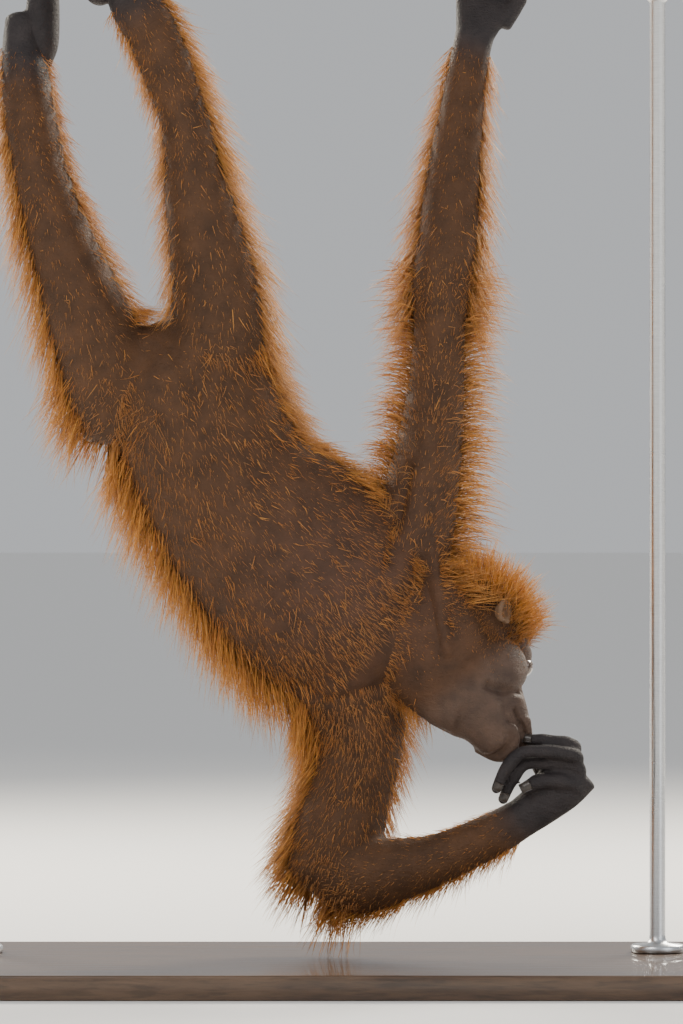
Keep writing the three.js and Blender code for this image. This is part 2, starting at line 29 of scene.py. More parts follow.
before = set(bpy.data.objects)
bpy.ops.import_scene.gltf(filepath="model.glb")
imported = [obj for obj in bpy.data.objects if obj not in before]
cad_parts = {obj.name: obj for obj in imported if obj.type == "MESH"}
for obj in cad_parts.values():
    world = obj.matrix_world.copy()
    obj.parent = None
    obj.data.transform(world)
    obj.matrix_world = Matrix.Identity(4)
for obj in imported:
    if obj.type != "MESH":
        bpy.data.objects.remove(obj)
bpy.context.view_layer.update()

mm = 0.001
view_middle, view_top = 341.5, 982.0     # the front layout's middle line and height, mm
skin_voxel, body_voxel, bark_voxel = 0.0019, 0.0032, 0.0026     # grids that skins are melted on, metres
down_way = np.array([0, 0, -1.0])


# Shapes

def at(across, down, back):
    """A point of the front layout: mm across, down and back, turned into metres."""
    return np.array([across - view_middle, back, view_top - down]) * mm


def unit(v):
    """The vectors divided by their lengths."""
    return v / np.maximum(np.linalg.norm(v, axis=-1, keepdims=True), 1e-9)


def circle(n):
    """n even turns round a circle, in radians."""
    return np.linspace(0, 2 * np.pi, n, endpoint=False)


def step(x, low, high):
    """A smooth rise from 0 at low to 1 at high."""
    k = np.clip((x - low) / (high - low), 0, 1)
    return k * k * (3 - 2 * k)


def bell(x, wide):
    """A bell curve: 1 at 0, and about a third at wide."""
    return np.exp(-(x / wide)**2)


def far(pts, place):
    """How far points are from a place."""
    return np.linalg.norm(pts - place, axis=1)


def through(rows, t):
    """A Catmull-Rom run through the rows: cubic between neighbours, ends carried straight on."""
    rows = np.asarray(rows, float)
    ext = np.vstack([2 * rows[0] - rows[1], rows, 2 * rows[-1] - rows[-2]])
    x = np.clip(t, 0, 1) * (len(rows) - 1)
    i = np.clip(x.astype(int), 0, len(rows) - 2)
    f = (x - i)[:, None]
    a, b, c, d = ext[i], ext[i + 1], ext[i + 2], ext[i + 3]
    return 0.5 * (2 * b + (c - a) * f + (2 * a - 5 * b + 4 * c - d) * f**2 + (3 * b - a - 3 * c + d) * f**3)


class Run:
    """A limb or body form: rows of [across, down, back, half a, half b] in mm and the side of half a."""

    def __init__(self, rows, side, facing=None, place=at, size=mm):
        self.place = np.array([place(*r[:3]) for r in rows])
        self.half = np.array([r[3:5] for r in rows]) * size
        self.side = np.array(side, float)
        self.facing = None if facing is None else unit(np.array(facing, float))

    def frames(self, t):
        """Middle, way, side, up and half sizes at t; the way is the slope, or the facing if set."""
        t = np.atleast_1d(np.asarray(t, float))
        p = through(self.place, t)
        ahead, behind = np.minimum(t + 2e-3, 1), np.maximum(t - 2e-3, 0)
        way = unit(through(self.place, ahead) - through(self.place, behind))
        if self.facing is not None:
            way = np.broadcast_to(self.facing, way.shape)
        s = unit(self.side - way * (way @ self.side)[:, None])
        return p, way, s, np.cross(way, s), through(self.half, t)

    def point(self, t, turn):
        """Points on the ovals, and the way: a by the turn's cosine along side, b by its sine along up."""
        p, way, s, u, half = self.frames(t)
        c, d = np.cos(turn)[:, None], np.sin(turn)[:, None]
        return p + half[:, :1] * c * s + half[:, 1:] * d * u, way

    def stretch(self, low, high, count=6):
        """The part of the run between two places along it."""
        part, t = copy(self), np.linspace(low, high, count)
        part.place, part.half = through(self.place, t), through(self.half, t)
        return part


def grid_faces(m, n, shut=False):
    """Quads of an m by n grid whose second way closes on itself, and whose first does where shut."""
    i, j = np.meshgrid(np.arange(m if shut else m - 1), np.arange(n), indexing="ij")
    here, there, k = i * n, (i + 1) % m * n, (j + 1) % n
    return np.stack([here + j, here + k, there + k, there + j], -1).reshape(-1, 4)


def closed(rings):
    """Points and faces of a closed tube through rings (m, n, 3), each end shut by a fan to its middle."""
    m, n = rings.shape[:2]
    pts = np.vstack([rings.reshape(-1, 3), rings[0].mean(0), rings[-1].mean(0)])
    j = np.arange(n)
    k, last = (j + 1) % n, (m - 1) * n
    return pts, [grid_faces(m, n), np.stack([np.full(n, m * n), k, j], -1),
                 np.stack([np.full(n, m * n + 1), last + j, last + k], -1)]


def tube(run, n=28, m=40, ends=(0.7, 0.7), shrink=(1, 1), bumps=None):
    """A run's closed surface: ovals along it, domed at each end by a share of its size."""
    t = np.linspace(0, 1, m)
    p, way, s, u, half = run.frames(t)
    half = half * np.interp(t, [0, 1], shrink)[:, None]
    if bumps:
        half = half * bumps(t)[:, None]
    c, d = np.cos(circle(n))[:, None], np.sin(circle(n))[:, None]

    def ring(i, middle, a, b):
        return middle + a * c * s[i] + b * d * u[i]
    rings = [ring(i, p[i], *half[i]) for i in range(m)]
    heights = np.sin(np.linspace(0.15, 1.0, 6) * np.pi / 2 * 0.97)
    for end, sign in ((0, -1), (-1, 1)):
        tall = ends[end] * half[end].min()
        dome = [ring(end, p[end] + sign * way[end] * k * tall, *(half[end] * np.sqrt(1 - k * k)))
                for k in heights]
        rings = dome[::-1] + rings if end == 0 else rings + dome
    return closed(np.array(rings))


def egg(centre, half, axes, n=24, m=16):
    """A closed egg: half sizes along three axes, points by sine and cosine of two angles."""
    a = np.linspace(0, np.pi, m + 2)[1:-1]
    turn = circle(n)
    f, u, r = axes
    return closed(centre - half[0] * np.cos(a)[:, None, None] * f
                  + half[1] * np.sin(a)[:, None, None] * np.cos(turn)[None, :, None] * u
                  + half[2] * np.sin(a)[:, None, None] * np.sin(turn)[None, :, None] * r)


def new_object(name, data):
    """An object in the scene."""
    obj = bpy.data.objects.new(name, data)
    bpy.context.scene.collection.objects.link(obj)
    return obj


def mesh_from(name, pieces, smooth=True):
    """One mesh object holding several (points, face lists) pieces."""
    pts, faces, base = [], [], 0
    for p, fs in pieces:
        pts.append(p)
        for f in fs:
            faces.append((f + base).tolist())
        base += len(p)
    mesh = bpy.data.meshes.new(name)
    mesh.from_pydata(np.vstack(pts).tolist(), [], [f for fs in faces for f in fs])
    mesh.update()
    mesh.polygons.foreach_set("use_smooth", np.full(len(mesh.polygons), smooth))
    return new_object(name, mesh)


def settle_mesh(obj):
    """Make the mesh what the modifiers show, and drop them."""
    done = bpy.data.meshes.new_from_object(obj.evaluated_get(bpy.context.evaluated_depsgraph_get()))
    obj.modifiers.clear()
    old, obj.data = obj.data, done
    bpy.data.meshes.remove(old)
    done.name = obj.name
    done.polygons.foreach_set("use_smooth", np.ones(len(done.polygons), bool))
    return obj


def melt(obj, voxel, rounds):
    """Join the overlapping closed pieces of an object into one even skin: voxel remesh, then smoothing."""
    change = obj.modifiers.new("join", "REMESH")
    change.mode, change.voxel_size, change.adaptivity = "VOXEL", voxel, 0.0
    smooth = obj.modifiers.new("smooth", "SMOOTH")
    smooth.factor, smooth.iterations = 0.5, rounds
    return settle_mesh(obj)


def ease(obj, weight, rounds):
    """Even the skin out where weight, 0 to 1 at each point, says: each point nears its neighbours' mean."""
    group = obj.vertex_groups.new(name="ease")
    level = np.round(np.clip(weight, 0, 1) * 10).astype(int)
    for k in range(1, 11):
        group.add(np.nonzero(level == k)[0].tolist(), k / 10, "REPLACE")
    smooth = obj.modifiers.new("smooth", "SMOOTH")
    smooth.factor, smooth.iterations, smooth.vertex_group = 0.5, rounds, "ease"
    settle_mesh(obj)
    obj.vertex_groups.clear()
    return obj


def rows_of(data, what):
    """A three-number value of each item, as rows."""
    values = np.empty(len(data) * 3)
    data.foreach_get(what, values)
    return values.reshape(-1, 3)


def points_of(mesh):
    """The mesh's points as rows."""
    return rows_of(mesh.vertices, "co")


def move_points(mesh, pts):
    """Put the points back into the mesh."""
    mesh.vertices.foreach_set("co", np.ascontiguousarray(pts, dtype=float).ravel())
    mesh.update()


def near_line(pts, rows):
    """How far points are from a line of the front layout, seen from the front: to its nearest stretch."""
    best = np.full(len(pts), 1.0)
    for a, b in zip(rows[:-1], rows[1:]):
        p, q = at(*a, 0)[[0, 2]], at(*b, 0)[[0, 2]]
        k = np.clip((pts[:, [0, 2]] - p) @ (q - p) / ((q - p) @ (q - p)), 0, 1)
        best = np.minimum(best, np.linalg.norm(pts[:, [0, 2]] - p - k[:, None] * (q - p), axis=1))
    return best


def ridge(pts, out, rows, wide, tall):
    """Swelling along a line on the front: a bell across the line, gone where the skin turns away."""
    return tall * bell(near_line(pts, rows), wide) * step(-out[:, 1], 0.0, 0.45)


# Body runs: the same rows as the solids', and a jaw that fills the corner under the head

torso = Run([
    [166, 345, 2, 56, 50], [178, 368, 0, 84, 66], [190, 398, -2, 88, 72], [206, 440, -3, 88, 76],
    [229, 487, -2, 90, 80], [256, 521, 0, 98, 84], [286, 553, 4, 105, 88], [318, 588, 8, 106, 90],
    [348, 619, 10, 98, 86], [376, 645, 12, 76, 72]], (0.745, 0, 0.667))
neck = Run([
    [386, 632, 14, 80, 62], [408, 628, 8, 74, 58], [428, 642, -18, 68, 42], [448, 664, -30, 60, 34],
    [470, 690, -42, 46, 26]], (0.45, 0, 0.9), facing=(0.86, -0.28, -0.43))
arm_right = Run([
    [392, 592, 12, 50, 46], [408, 550, 12, 45, 46], [418, 506, 14, 40, 42], [427, 462, 18, 35, 38],
    [433, 420, 22, 31, 34], [437, 380, 28, 28, 31], [440, 330, 34, 26, 29], [442, 284, 40, 31, 31],
    [448, 240, 48, 30, 29], [452, 200, 56, 29, 27], [457, 150, 66, 26, 24], [464, 100, 76, 22, 20],
    [471, 55, 84, 20, 17], [477, 27, 90, 20, 15]], (1, 0, 0))
upper_arm_left = Run([
    [334, 636, 16, 54, 60], [350, 686, 18, 54, 60], [358, 730, 22, 48, 52], [356, 765, 22, 43, 45],
    [348, 800, 22, 43, 41], [336, 838, 14, 46, 40], [324, 872, 10, 40, 36]], (1, 0, 0))
jaw = Run([
    [452, 676, -30, 52, 30], [476, 698, -35, 43, 27], [497, 715, -33, 33, 22], [510, 727, -28, 23, 16]],
    (0.45, 0, 0.9), facing=(0.86, -0.28, -0.43))
forearm_left = Run([
    [330, 876, 8, 36, 34], [365, 876, 2, 38, 34], [404, 868, -6, 31, 29], [441, 857, -14, 25, 24],
    [491, 834, -24, 22, 19], [523, 815, -29, 20, 15]], (-0.3, 0, 0.95))
leg_left = Run([
    [128, 418, 0, 50, 50], [112, 378, -8, 50, 52], [97, 338, -16, 45, 48], [84, 303, -22, 41, 44],
    [69, 260, -28, 35, 38], [56, 224, -30, 31, 33], [48, 198, -28, 29, 31], [41, 172, -24, 27, 30],
    [33, 130, -14, 27, 29], [27, 90, -2, 25, 26], [23, 52, 10, 22, 22], [24, 20, 14, 20, 19]], (1, 0, 0))
leg_right = Run([
    [212, 392, -4, 52, 54], [216, 352, -14, 50, 54], [217, 318, -24, 47, 50], [215, 285, -32, 43, 46],
    [209, 250, -40, 40, 42], [203, 218, -46, 36, 38], [196, 184, -48, 31, 34], [191, 150, -48, 27, 31],
    [183, 113, -50, 25, 30], [169, 73, -53, 26, 28], [152, 34, -56, 26, 25], [138, 10, -58, 26, 22],
    [127, -12, -58, 22, 20]], (1, 0, 0))
hand_right = Run([
    [477, 27, 90, 20, 15], [484, 2, 98, 27, 14], [489, -20, 104, 32, 13], [490, -42, 106, 33, 12]], (1, 0, 0))
hand_left = Run([
    [523, 815, -29, 20, 15], [540, 802, -32, 22, 15], [558, 785, -35, 26, 14], [570, 769, -36, 29, 13]],
    (0.6, 0, -0.8))
foot_left = Run([
    [40, 60, 14, 12, 15], [42, 42, 14, 16, 20], [42, 12, 14, 17, 21], [43, -20, 14, 15, 24],
    [45, -50, 14, 13, 28], [47, -72, 14, 10, 29]], (1, 0, 0))
foot_right = Run([
    [100, 2, -58, 12, 15], [104, -9, -58, 16, 19], [110, -27, -58, 16, 22], [113, -50, -58, 13, 27],
    [111, -74, -58, 11, 29]], (1, 0, 0))
main_limb = Run([
    [-55, -78, 72, 23, 23], [20, -74, 73, 22, 22], [78, -71, 72, 22, 22], [200, -66, 74, 20, 20],
    [330, -61, 73, 20, 20], [490, -57, 72, 19, 19], [600, -54, 73, 18, 18], [690, -50, 70, 17, 17]],
    (0, 1, 0))
side_limb = Run([
    [80, -71, 66, 20, 20], [78, -70, 30, 20, 20], [78, -70, -60, 19, 19], [82, -73, -135, 16, 16]], (1, 0, 0))


def wind(angles, place, thick):
    """Rows that wind round a limb: place(angle) gives the point, thickness runs evenly."""
    r = np.linspace(thick[0], thick[1], len(angles))
    return [[*place(np.radians(a)), k, k] for a, k in zip(angles, r)]


hold = dict(x=78, down=-70, reach=28.2)     # the side limb's middle, and the toes' way off it, mm


def toe_point(back, out):
    """A turn round the side limb, mm."""
    return lambda a: (hold["x"] + (hold["reach"] + out) * np.cos(a),
                      hold["down"] - (hold["reach"] + out) * np.sin(a), back)


def grip_point(across):
    """A turn round the main limb where the right hand holds it, mm."""
    return lambda a: (across, -57 - 28 * np.sin(a), 72 + 28 * np.cos(a))


digits = {}
for i, (dy, reach) in enumerate(((-21.6, 0), (-7.2, 8), (7.2, 4), (21.6, -8))):
    for side, angles, back in (("left", [188, 145, 100, 55, 20 - reach, -8 - reach], 14),
                               ("right", [-8, 35, 80, 125, 160 + reach, 188 + reach], -58)):
        digits[f"toe_{i + 2}_{side}"] = Run(wind(angles, toe_point(back + dy, 0), (7, 6)), (0, 1, 0))
digits["big_toe_left"] = Run([
    [44, -22, -7, 11, 11], [49, -42, -11, 9.5, 9.5], *wind([222, 250, 280], toe_point(-13, 1), (8.5, 7))],
    (0, 1, 0))
digits["big_toe_right"] = Run([
    [112, -26, -77, 11, 11], [108, -42, -82, 9.5, 9.5], *wind([-42, -70, -100], toe_point(-84, 1),
    (8.5, 7))], (0, 1, 0))
for name, dx, more in (("index", 24, 0), ("middle", 8, 14), ("ring", -8, 8), ("little", -24, -12)):
    digits[f"{name}_finger_right"] = Run(wind([-25, 15, 55, 95, 135, 172 + more / 2, 205 + more],
                                              grip_point(490 + dx), (7.8, 6)), (1, 0, 0))
digits["thumb_right"] = Run([
    [504, 14, 95, 12, 10], [517, -4, 96, 10, 9.5], [525, -22, 97, 8.5, 8.5], [528, -36, 98, 7, 7]], (1, 0, 0))
left_hand = {
    "index_finger": [[568, 754, -37, 9, 8.5], [572, 746, -40, 8, 8], [560, 741, -43, 7, 7],
        [543, 739, -44, 6.5, 6.5], [526, 738, -41, 5.6, 5.6]],
    "middle_finger": [[572, 764, -40, 9, 8.5], [574, 755, -48, 7.5, 7.5], [562, 751, -54, 7, 7],
        [540, 749, -57, 6.5, 6.5], [519, 751, -57, 6.5, 6.5], [504, 767, -56, 6.2, 6.2],
        [495, 786, -54, 5.2, 5.2]],
    "ring_finger": [[576, 775, -38, 9, 8.5], [576, 766, -43, 7.5, 7.5], [562, 762, -44, 7, 7],
        [541, 761, -44, 6.5, 6.5], [522, 763, -44, 6.5, 6.5], [510, 779, -44, 6.2, 6.2],
        [502, 797, -43, 5.2, 5.2]],
    "little_finger": [[578, 787, -38, 9, 9], [566, 780, -46, 8, 8], [540, 779, -49, 7.8, 7.8],
        [525, 785, -49, 6.6, 6.6]],
    "thumb": [[552, 796, -24, 10, 9], [547, 780, -15, 8.5, 8.5], [538, 766, -12, 7, 7]]}
for name, rows in left_hand.items():
    digits[name + "_left"] = Run(rows, (0, 0, 1))


def digits_of(part):
    """The names of a hand's or foot's digits."""
    kind, side = part.split("_")
    kinds = ("toe",) if kind == "foot" else ("finger", "thumb")
    return [d for d in digits if d.endswith(side) and any(k in d for k in kinds)]


# Head axes: forward to the lips, up to the crown, right to the right ear; its forms at 0.9 of full size

forward = unit(np.array([0.60, 0.13, -0.78]))
right = unit(np.cross(forward, np.array([0.36, 0.83, 0.43])))
up = np.cross(right, forward)
head_axes = (forward, up, right)
head_middle = at(467.5, 638.5, 0)
head_size = 0.9 * mm


def head(f, u, r):
    """A point of the head: forward, up and right of the middle between the ear holes."""
    return head_middle + head_size * (f * forward + u * up + r * right)


def lump(f, u, r, half, n=28, m=18):
    """An egg of the head."""
    return egg(head(f, u, r), np.array(half) * head_size, head_axes, n, m)


def head_tube(rows, side=right, **more):
    """A tube of the head, its rows in the head's own measures."""
    return tube(Run(rows, side, place=head, size=head_size), **more)


def roll(centre, way, side, sizes, n=40, m=12):
    """A closed roll of the head round an oval whose hole faces along way: half sizes, then its thickness."""
    wide, tall, thick = np.array(sizes) * head_size
    way = unit(way)
    s = unit(side - way * (way @ side))
    u = np.cross(way, s)
    c, d = np.cos(circle(n))[:, None], np.sin(circle(n))[:, None]
    out, b = c * s + d * u, -circle(m)
    rings = (centre + wide * c * s + tall * d * u)[:, None] + thick * (
        np.cos(b)[None, :, None] * out[:, None] + np.sin(b)[None, :, None] * way)
    return rings.reshape(-1, 3), [grid_faces(n, m, shut=True)]


def head_place(pts):
    """Points turned into the head's own measures: forward, up, right."""
    d = (pts - head_middle) / head_size
    return d @ forward, d @ up, d @ right


# Markings, shared by the skin and the coat

def marking(pts, hand=False):
    """Skin colour by place: brown trunk, dark hands and feet, brown-grey face, tan ear."""
    colour = np.tile([0.078, 0.036, 0.015], (len(pts), 1))

    def blend(new, k):
        nonlocal colour
        colour = colour * (1 - k[:, None]) + np.array(new) * k[:, None]
    blend((0.080, 0.039, 0.023), bell(far(pts, at(345, 590, -80)), 0.11))
    spots = [((490, -10, 100), 0.075), ((560, 790, -35), 0.07), ((44, 10, 14), 0.085),
             ((112, -40, -58), 0.075)]
    if hand:
        spots += [((508, 770, -50), 0.045), ((540, 750, -45), 0.045), ((78, -70, 14), 0.06),
                  ((78, -70, -58), 0.06), ((490, -57, 72), 0.06)]
    for spot, size in spots:
        blend((0.030, 0.025, 0.026), 1 - step(far(pts, at(*spot)), size * 0.6, size * 1.25))
    if hand:
        return colour
    f, u, r = head_place(pts)
    near = (np.abs(r) < 75) & (f > -70) & (f < 150) & (np.abs(u) < 120)
    blend((0.092, 0.058, 0.042), near * step(f, 5, 40))
    rim = near * bell(np.hypot(f - 64, (u - 14) * 1.1), 22) * (np.abs(r) > 12)
    blend((0.13, 0.090, 0.070), np.clip(rim, 0, 1))
    ears = near * bell(np.hypot(f + 3, u - 3), 20) * (np.abs(r) > 50)
    blend((0.21, 0.13, 0.075), np.clip(ears, 0, 1))
    return colour


# Materials

class Paint:
    """A material in the making, on object coordinates. Inputs take nodes' outputs or plain values."""

    def __init__(self, name):
        self.material = bpy.data.materials.new(name)
        self.material.use_nodes = True
        self.nodes, self.links = self.material.node_tree.nodes, self.material.node_tree.links
        self.place = self.nodes.new("ShaderNodeTexCoord").outputs["Object"]

    def feed(self, socket, value):
        """Link an output to a socket, or set the socket to a number or a colour."""
        if isinstance(value, bpy.types.NodeSocket):
            self.links.new(value, socket)
        else:
            socket.default_value = (*value, 1) if isinstance(value, tuple) else value

    def noise(self, scale, detail=4.0, rough=0.55, stretch=None):
        """A noise texture, stretched by a Mapping where asked."""
        tex, source = self.nodes.new("ShaderNodeTexNoise"), self.place
        for name, value in (("Scale", scale), ("Detail", detail), ("Roughness", rough)):
            tex.inputs[name].default_value = value
        if stretch:
            turn = self.nodes.new("ShaderNodeMapping")
            turn.inputs["Scale"].default_value = stretch
            self.links.new(source, turn.inputs["Vector"])
            source = turn.outputs["Vector"]
        self.links.new(source, tex.inputs["Vector"])
        return tex.outputs["Fac"]

    def ramp(self, source, *stops):
        """A colour ramp through (place, colour) stops; a lone number is a grey."""
        node = self.nodes.new("ShaderNodeValToRGB")
        marks = node.color_ramp.elements
        while len(marks) < len(stops):
            marks.new(0.5)
        for mark, (place, colour) in zip(marks, stops):
            colour = colour if isinstance(colour, tuple) else (colour,) * 3
            mark.position, mark.color = place, (*colour, 1)
        self.links.new(source, node.inputs["Fac"])
        return node.outputs["Color"]

    def mix(self, a, b, factor=1.0, kind="MULTIPLY"):
        """A colour mix of a and b."""
        node = self.nodes.new("ShaderNodeMix")
        node.data_type, node.blend_type = "RGBA", kind
        for socket, value in ((0, factor), (6, a), (7, b)):
            self.feed(node.inputs[socket], value)
        return node.outputs[2]

    def stored(self, name, output="Color"):
        """An attribute of the mesh."""
        node = self.nodes.new("ShaderNodeAttribute")
        node.attribute_name = name
        return node.outputs[output]

    def finish(self, inputs, *layers):
        """Fill the shader's inputs, chain its bump layers of (height, depth in metres), give the material."""
        shader, last = self.nodes["Principled BSDF"], None
        for name, value in inputs.items():
            self.feed(shader.inputs[name], value)
        for height, depth in layers:
            node = self.nodes.new("ShaderNodeBump")
            node.inputs["Distance"].default_value = depth
            node.inputs["Strength"].default_value = 1.0
            self.links.new(height, node.inputs["Height"])
            if last:
                self.links.new(last, node.inputs["Normal"])
            last = node.outputs["Normal"]
        if last:
            self.links.new(last, shader.inputs["Normal"])
        return self.material


def skin_material():
    """Leathery skin: marking colours, mottling, fine creases and pores."""
    p = Paint("skin")
    mottle, fine = p.noise(46.0, 6.0, 0.6), p.noise(420.0, 3.0, 0.6)
    folds = p.noise(120.0, 5.0, 0.7, (1.0, 1.0, 2.6))
    cracks = p.nodes.new("ShaderNodeTexVoronoi")
    cracks.feature, cracks.inputs["Scale"].default_value = "DISTANCE_TO_EDGE", 330.0
    p.links.new(p.place, cracks.inputs["Vector"])
    shade = p.ramp(mottle, (0.3, (0.62, 0.62, 0.64)), (0.7, (1.25, 1.2, 1.16)))
    return p.finish({"Base Color": p.mix(p.stored("tone"), shade), "Specular IOR Level": 0.28,
                     "Roughness": p.ramp(fine, (0.3, 0.52), (0.7, 0.72))},
                    (folds, 0.0016), (cracks.outputs["Distance"], 0.0007), (fine, 0.0004))


def coat_material(name, rough):
    """Hair: its own tones, broken along and across by noise."""
    p = Paint(name)
    shade = p.ramp(p.noise(160.0, 3.0, 0.6), (0.3, (0.74, 0.7, 0.66)), (0.7, (1.2, 1.18, 1.14)))
    return p.finish({"Base Color": p.mix(p.stored("tone"), shade), "Roughness": rough,
                     "Specular IOR Level": 0.35, "Sheen Weight": 0.35, "Sheen Tint": (1.0, 0.72, 0.42)})


def eye_material():
    """Wet dark brown eye from its own tones."""
    p = Paint("eye")
    shade = p.ramp(p.noise(900.0, 3.0), (0.35, 0.75), (0.65, 1.2))
    return p.finish({"Base Color": p.mix(p.stored("tone"), shade), "Roughness": 0.06, "Coat Weight": 1.0})


def nail_material():
    """Horn: near black with fine growth lines."""
    p = Paint("nail")
    lines = p.noise(700.0, 2.0)
    colour = p.ramp(lines, (0.3, (0.022, 0.017, 0.015)), (0.7, (0.055, 0.042, 0.034)))
    return p.finish({"Base Color": colour, "Roughness": 0.32}, (lines, 0.0002))


def bark_material():
    """Weathered bark: grey-brown plates, long cracks, small pits; pale rings where the limb is cut."""
    p = Paint("bark")
    plates = p.noise(38.0, 7.0, 0.62, (0.35, 1.0, 1.0))
    grain = p.noise(190.0, 5.0, 0.65, (0.3, 1.0, 1.0))
    colour = p.ramp(plates, (0.28, (0.055, 0.038, 0.026)), (0.48, (0.17, 0.125, 0.088)),
                    (0.62, (0.27, 0.215, 0.16)), (0.8, (0.36, 0.32, 0.25)))
    colour = p.mix(colour, p.ramp(grain, (0.35, 0.7), (0.65, 1.15)))
    rings = p.nodes.new("ShaderNodeTexWave")
    rings.wave_type, rings.rings_direction = "RINGS", "X"
    rings.inputs["Scale"].default_value = 120.0
    rings.inputs["Distortion"].default_value = 2.0
    p.links.new(p.place, rings.inputs["Vector"])
    wood = p.ramp(rings.outputs["Fac"], (0.2, (0.40, 0.28, 0.17)), (0.8, (0.56, 0.43, 0.28)))
    colour = p.mix(colour, wood, p.stored("cut", "Fac"), "MIX")
    return p.finish({"Base Color": colour, "Roughness": 0.85}, (plates, 0.006), (grain, 0.002))


def wood_material():
    """Dark stained base board: long grain along X under a satin lacquer."""
    p = Paint("stained_wood")
    grain = p.noise(26.0, 7.0, 0.65, (0.25, 5.0, 2.0))
    pores = p.noise(240.0, 3.0, 0.6, (0.12, 2.2, 1.0))
    colour = p.ramp(grain, (0.3, (0.040, 0.022, 0.013)), (0.5, (0.085, 0.048, 0.027)),
                    (0.7, (0.13, 0.078, 0.045)))
    colour = p.mix(colour, p.ramp(pores, (0.36, 0.55), (0.5, 1.0)), 0.7)
    return p.finish({"Base Color": colour, "Roughness": p.ramp(grain, (0.3, 0.30), (0.7, 0.42)),
                     "Coat Weight": 0.25}, (pores, 0.0003))


def steel_material():
    """Brushed steel: fine lines round the rod, slightly uneven gloss."""
    p = Paint("brushed_steel")
    lines, cloud = p.noise(90.0, 3.0, 0.6, (1.0, 1.0, 26.0)), p.noise(9.0, 3.0)
    return p.finish({"Base Color": p.ramp(lines, (0.3, (0.50, 0.51, 0.52)), (0.7, (0.66, 0.67, 0.68))),
                     "Roughness": p.ramp(cloud, (0.3, 0.24), (0.7, 0.36)), "Metallic": 1.0}, (lines, 0.0001))


def set_tone(mesh, colours):
    """Store colours per point as the attribute the materials read."""
    tone = mesh.attributes.new("tone", "FLOAT_COLOR", "POINT")
    tone.data.foreach_set("color", np.hstack([np.clip(colours, 0, 1), np.ones((len(colours), 1))]).ravel())


def finish_piece(obj, mat, nodes=()):
    """Give a piece its material, its body and the solids it stands for."""
    obj.data.materials.clear()
    obj.data.materials.append(mat)
    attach(obj, "root")
    if nodes:
        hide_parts(*nodes)


# The camera and light come first

def set_stage():
    """Camera at the photograph's angle, pale floor, soft key, fill and back lights."""
    cam = bpy.data.cameras.new("camera")
    cam.lens, cam.sensor_width, cam.sensor_height, cam.sensor_fit = 200, 36, 36, "VERTICAL"
    cam.clip_end = 100
    eye = bpy.context.scene.camera = new_object("camera", cam)
    eye.location = (0, -5.69, 0.470)
    eye.rotation_euler = (np.pi / 2, 0, 0)
    reach, level = 60.0, -0.0005
    corners = np.array([[x * reach, y * reach, level] for x, y in ((-1, -1), (1, -1), (1, 1), (-1, 1))])
    floor = mesh_from("floor", [(corners, [np.array([[0, 1, 2, 3]])])], smooth=False)
    pale = Paint("pale_floor").finish({"Base Color": (0.88, 0.87, 0.85), "Roughness": 0.75})
    floor.data.materials.append(pale)
    for name, place, aim, size, power, colour in (
            ("key_light", (-1.6, -2.6, 2.6), (0, 0, 0.5), 2.0, 62, (1.0, 0.97, 0.93)),
            ("fill_light", (2.6, -2.4, 1.2), (0.1, 0, 0.5), 2.4, 26, (0.94, 0.97, 1.0)),
            ("back_light_left", (-1.9, 2.3, 1.9), (-0.1, 0, 0.6), 1.3, 150, (1.0, 0.92, 0.78)),
            ("back_light_right", (1.9, 2.2, 2.2), (0.1, 0, 0.55), 1.3, 170, (1.0, 0.93, 0.80))):
        lamp = bpy.data.lights.new(name, "AREA")
        lamp.shape, lamp.size, lamp.energy, lamp.color = "DISK", size, power, colour
        obj = new_object(name, lamp)
        obj.location = place
        obj.rotation_euler = (Vector(aim) - Vector(place)).to_track_quat("-Z", "Y").to_euler()
    world = bpy.data.worlds.new("studio")
    world.use_nodes = True
    sky = world.node_tree.nodes["Background"].inputs
    sky["Color"].default_value = (0.90, 0.92, 0.95, 1)
    sky["Strength"].default_value = 0.58
    bpy.context.scene.world = world


set_stage()
skin_mat, eye_mat, nail_mat = skin_material(), eye_material(), nail_material()


# Head skin

def eye_way(s):
    """The way an eye looks."""
    return unit(forward * 0.93 + right * 0.36 * s)


def lip(rows):
    """A lip roll: rows from its left corner to its middle, mirrored on to its right corner."""
    return head_tube(rows + [[f, u, -r, a, b] for f, u, r, a, b in rows[-2::-1]], up, n=18)


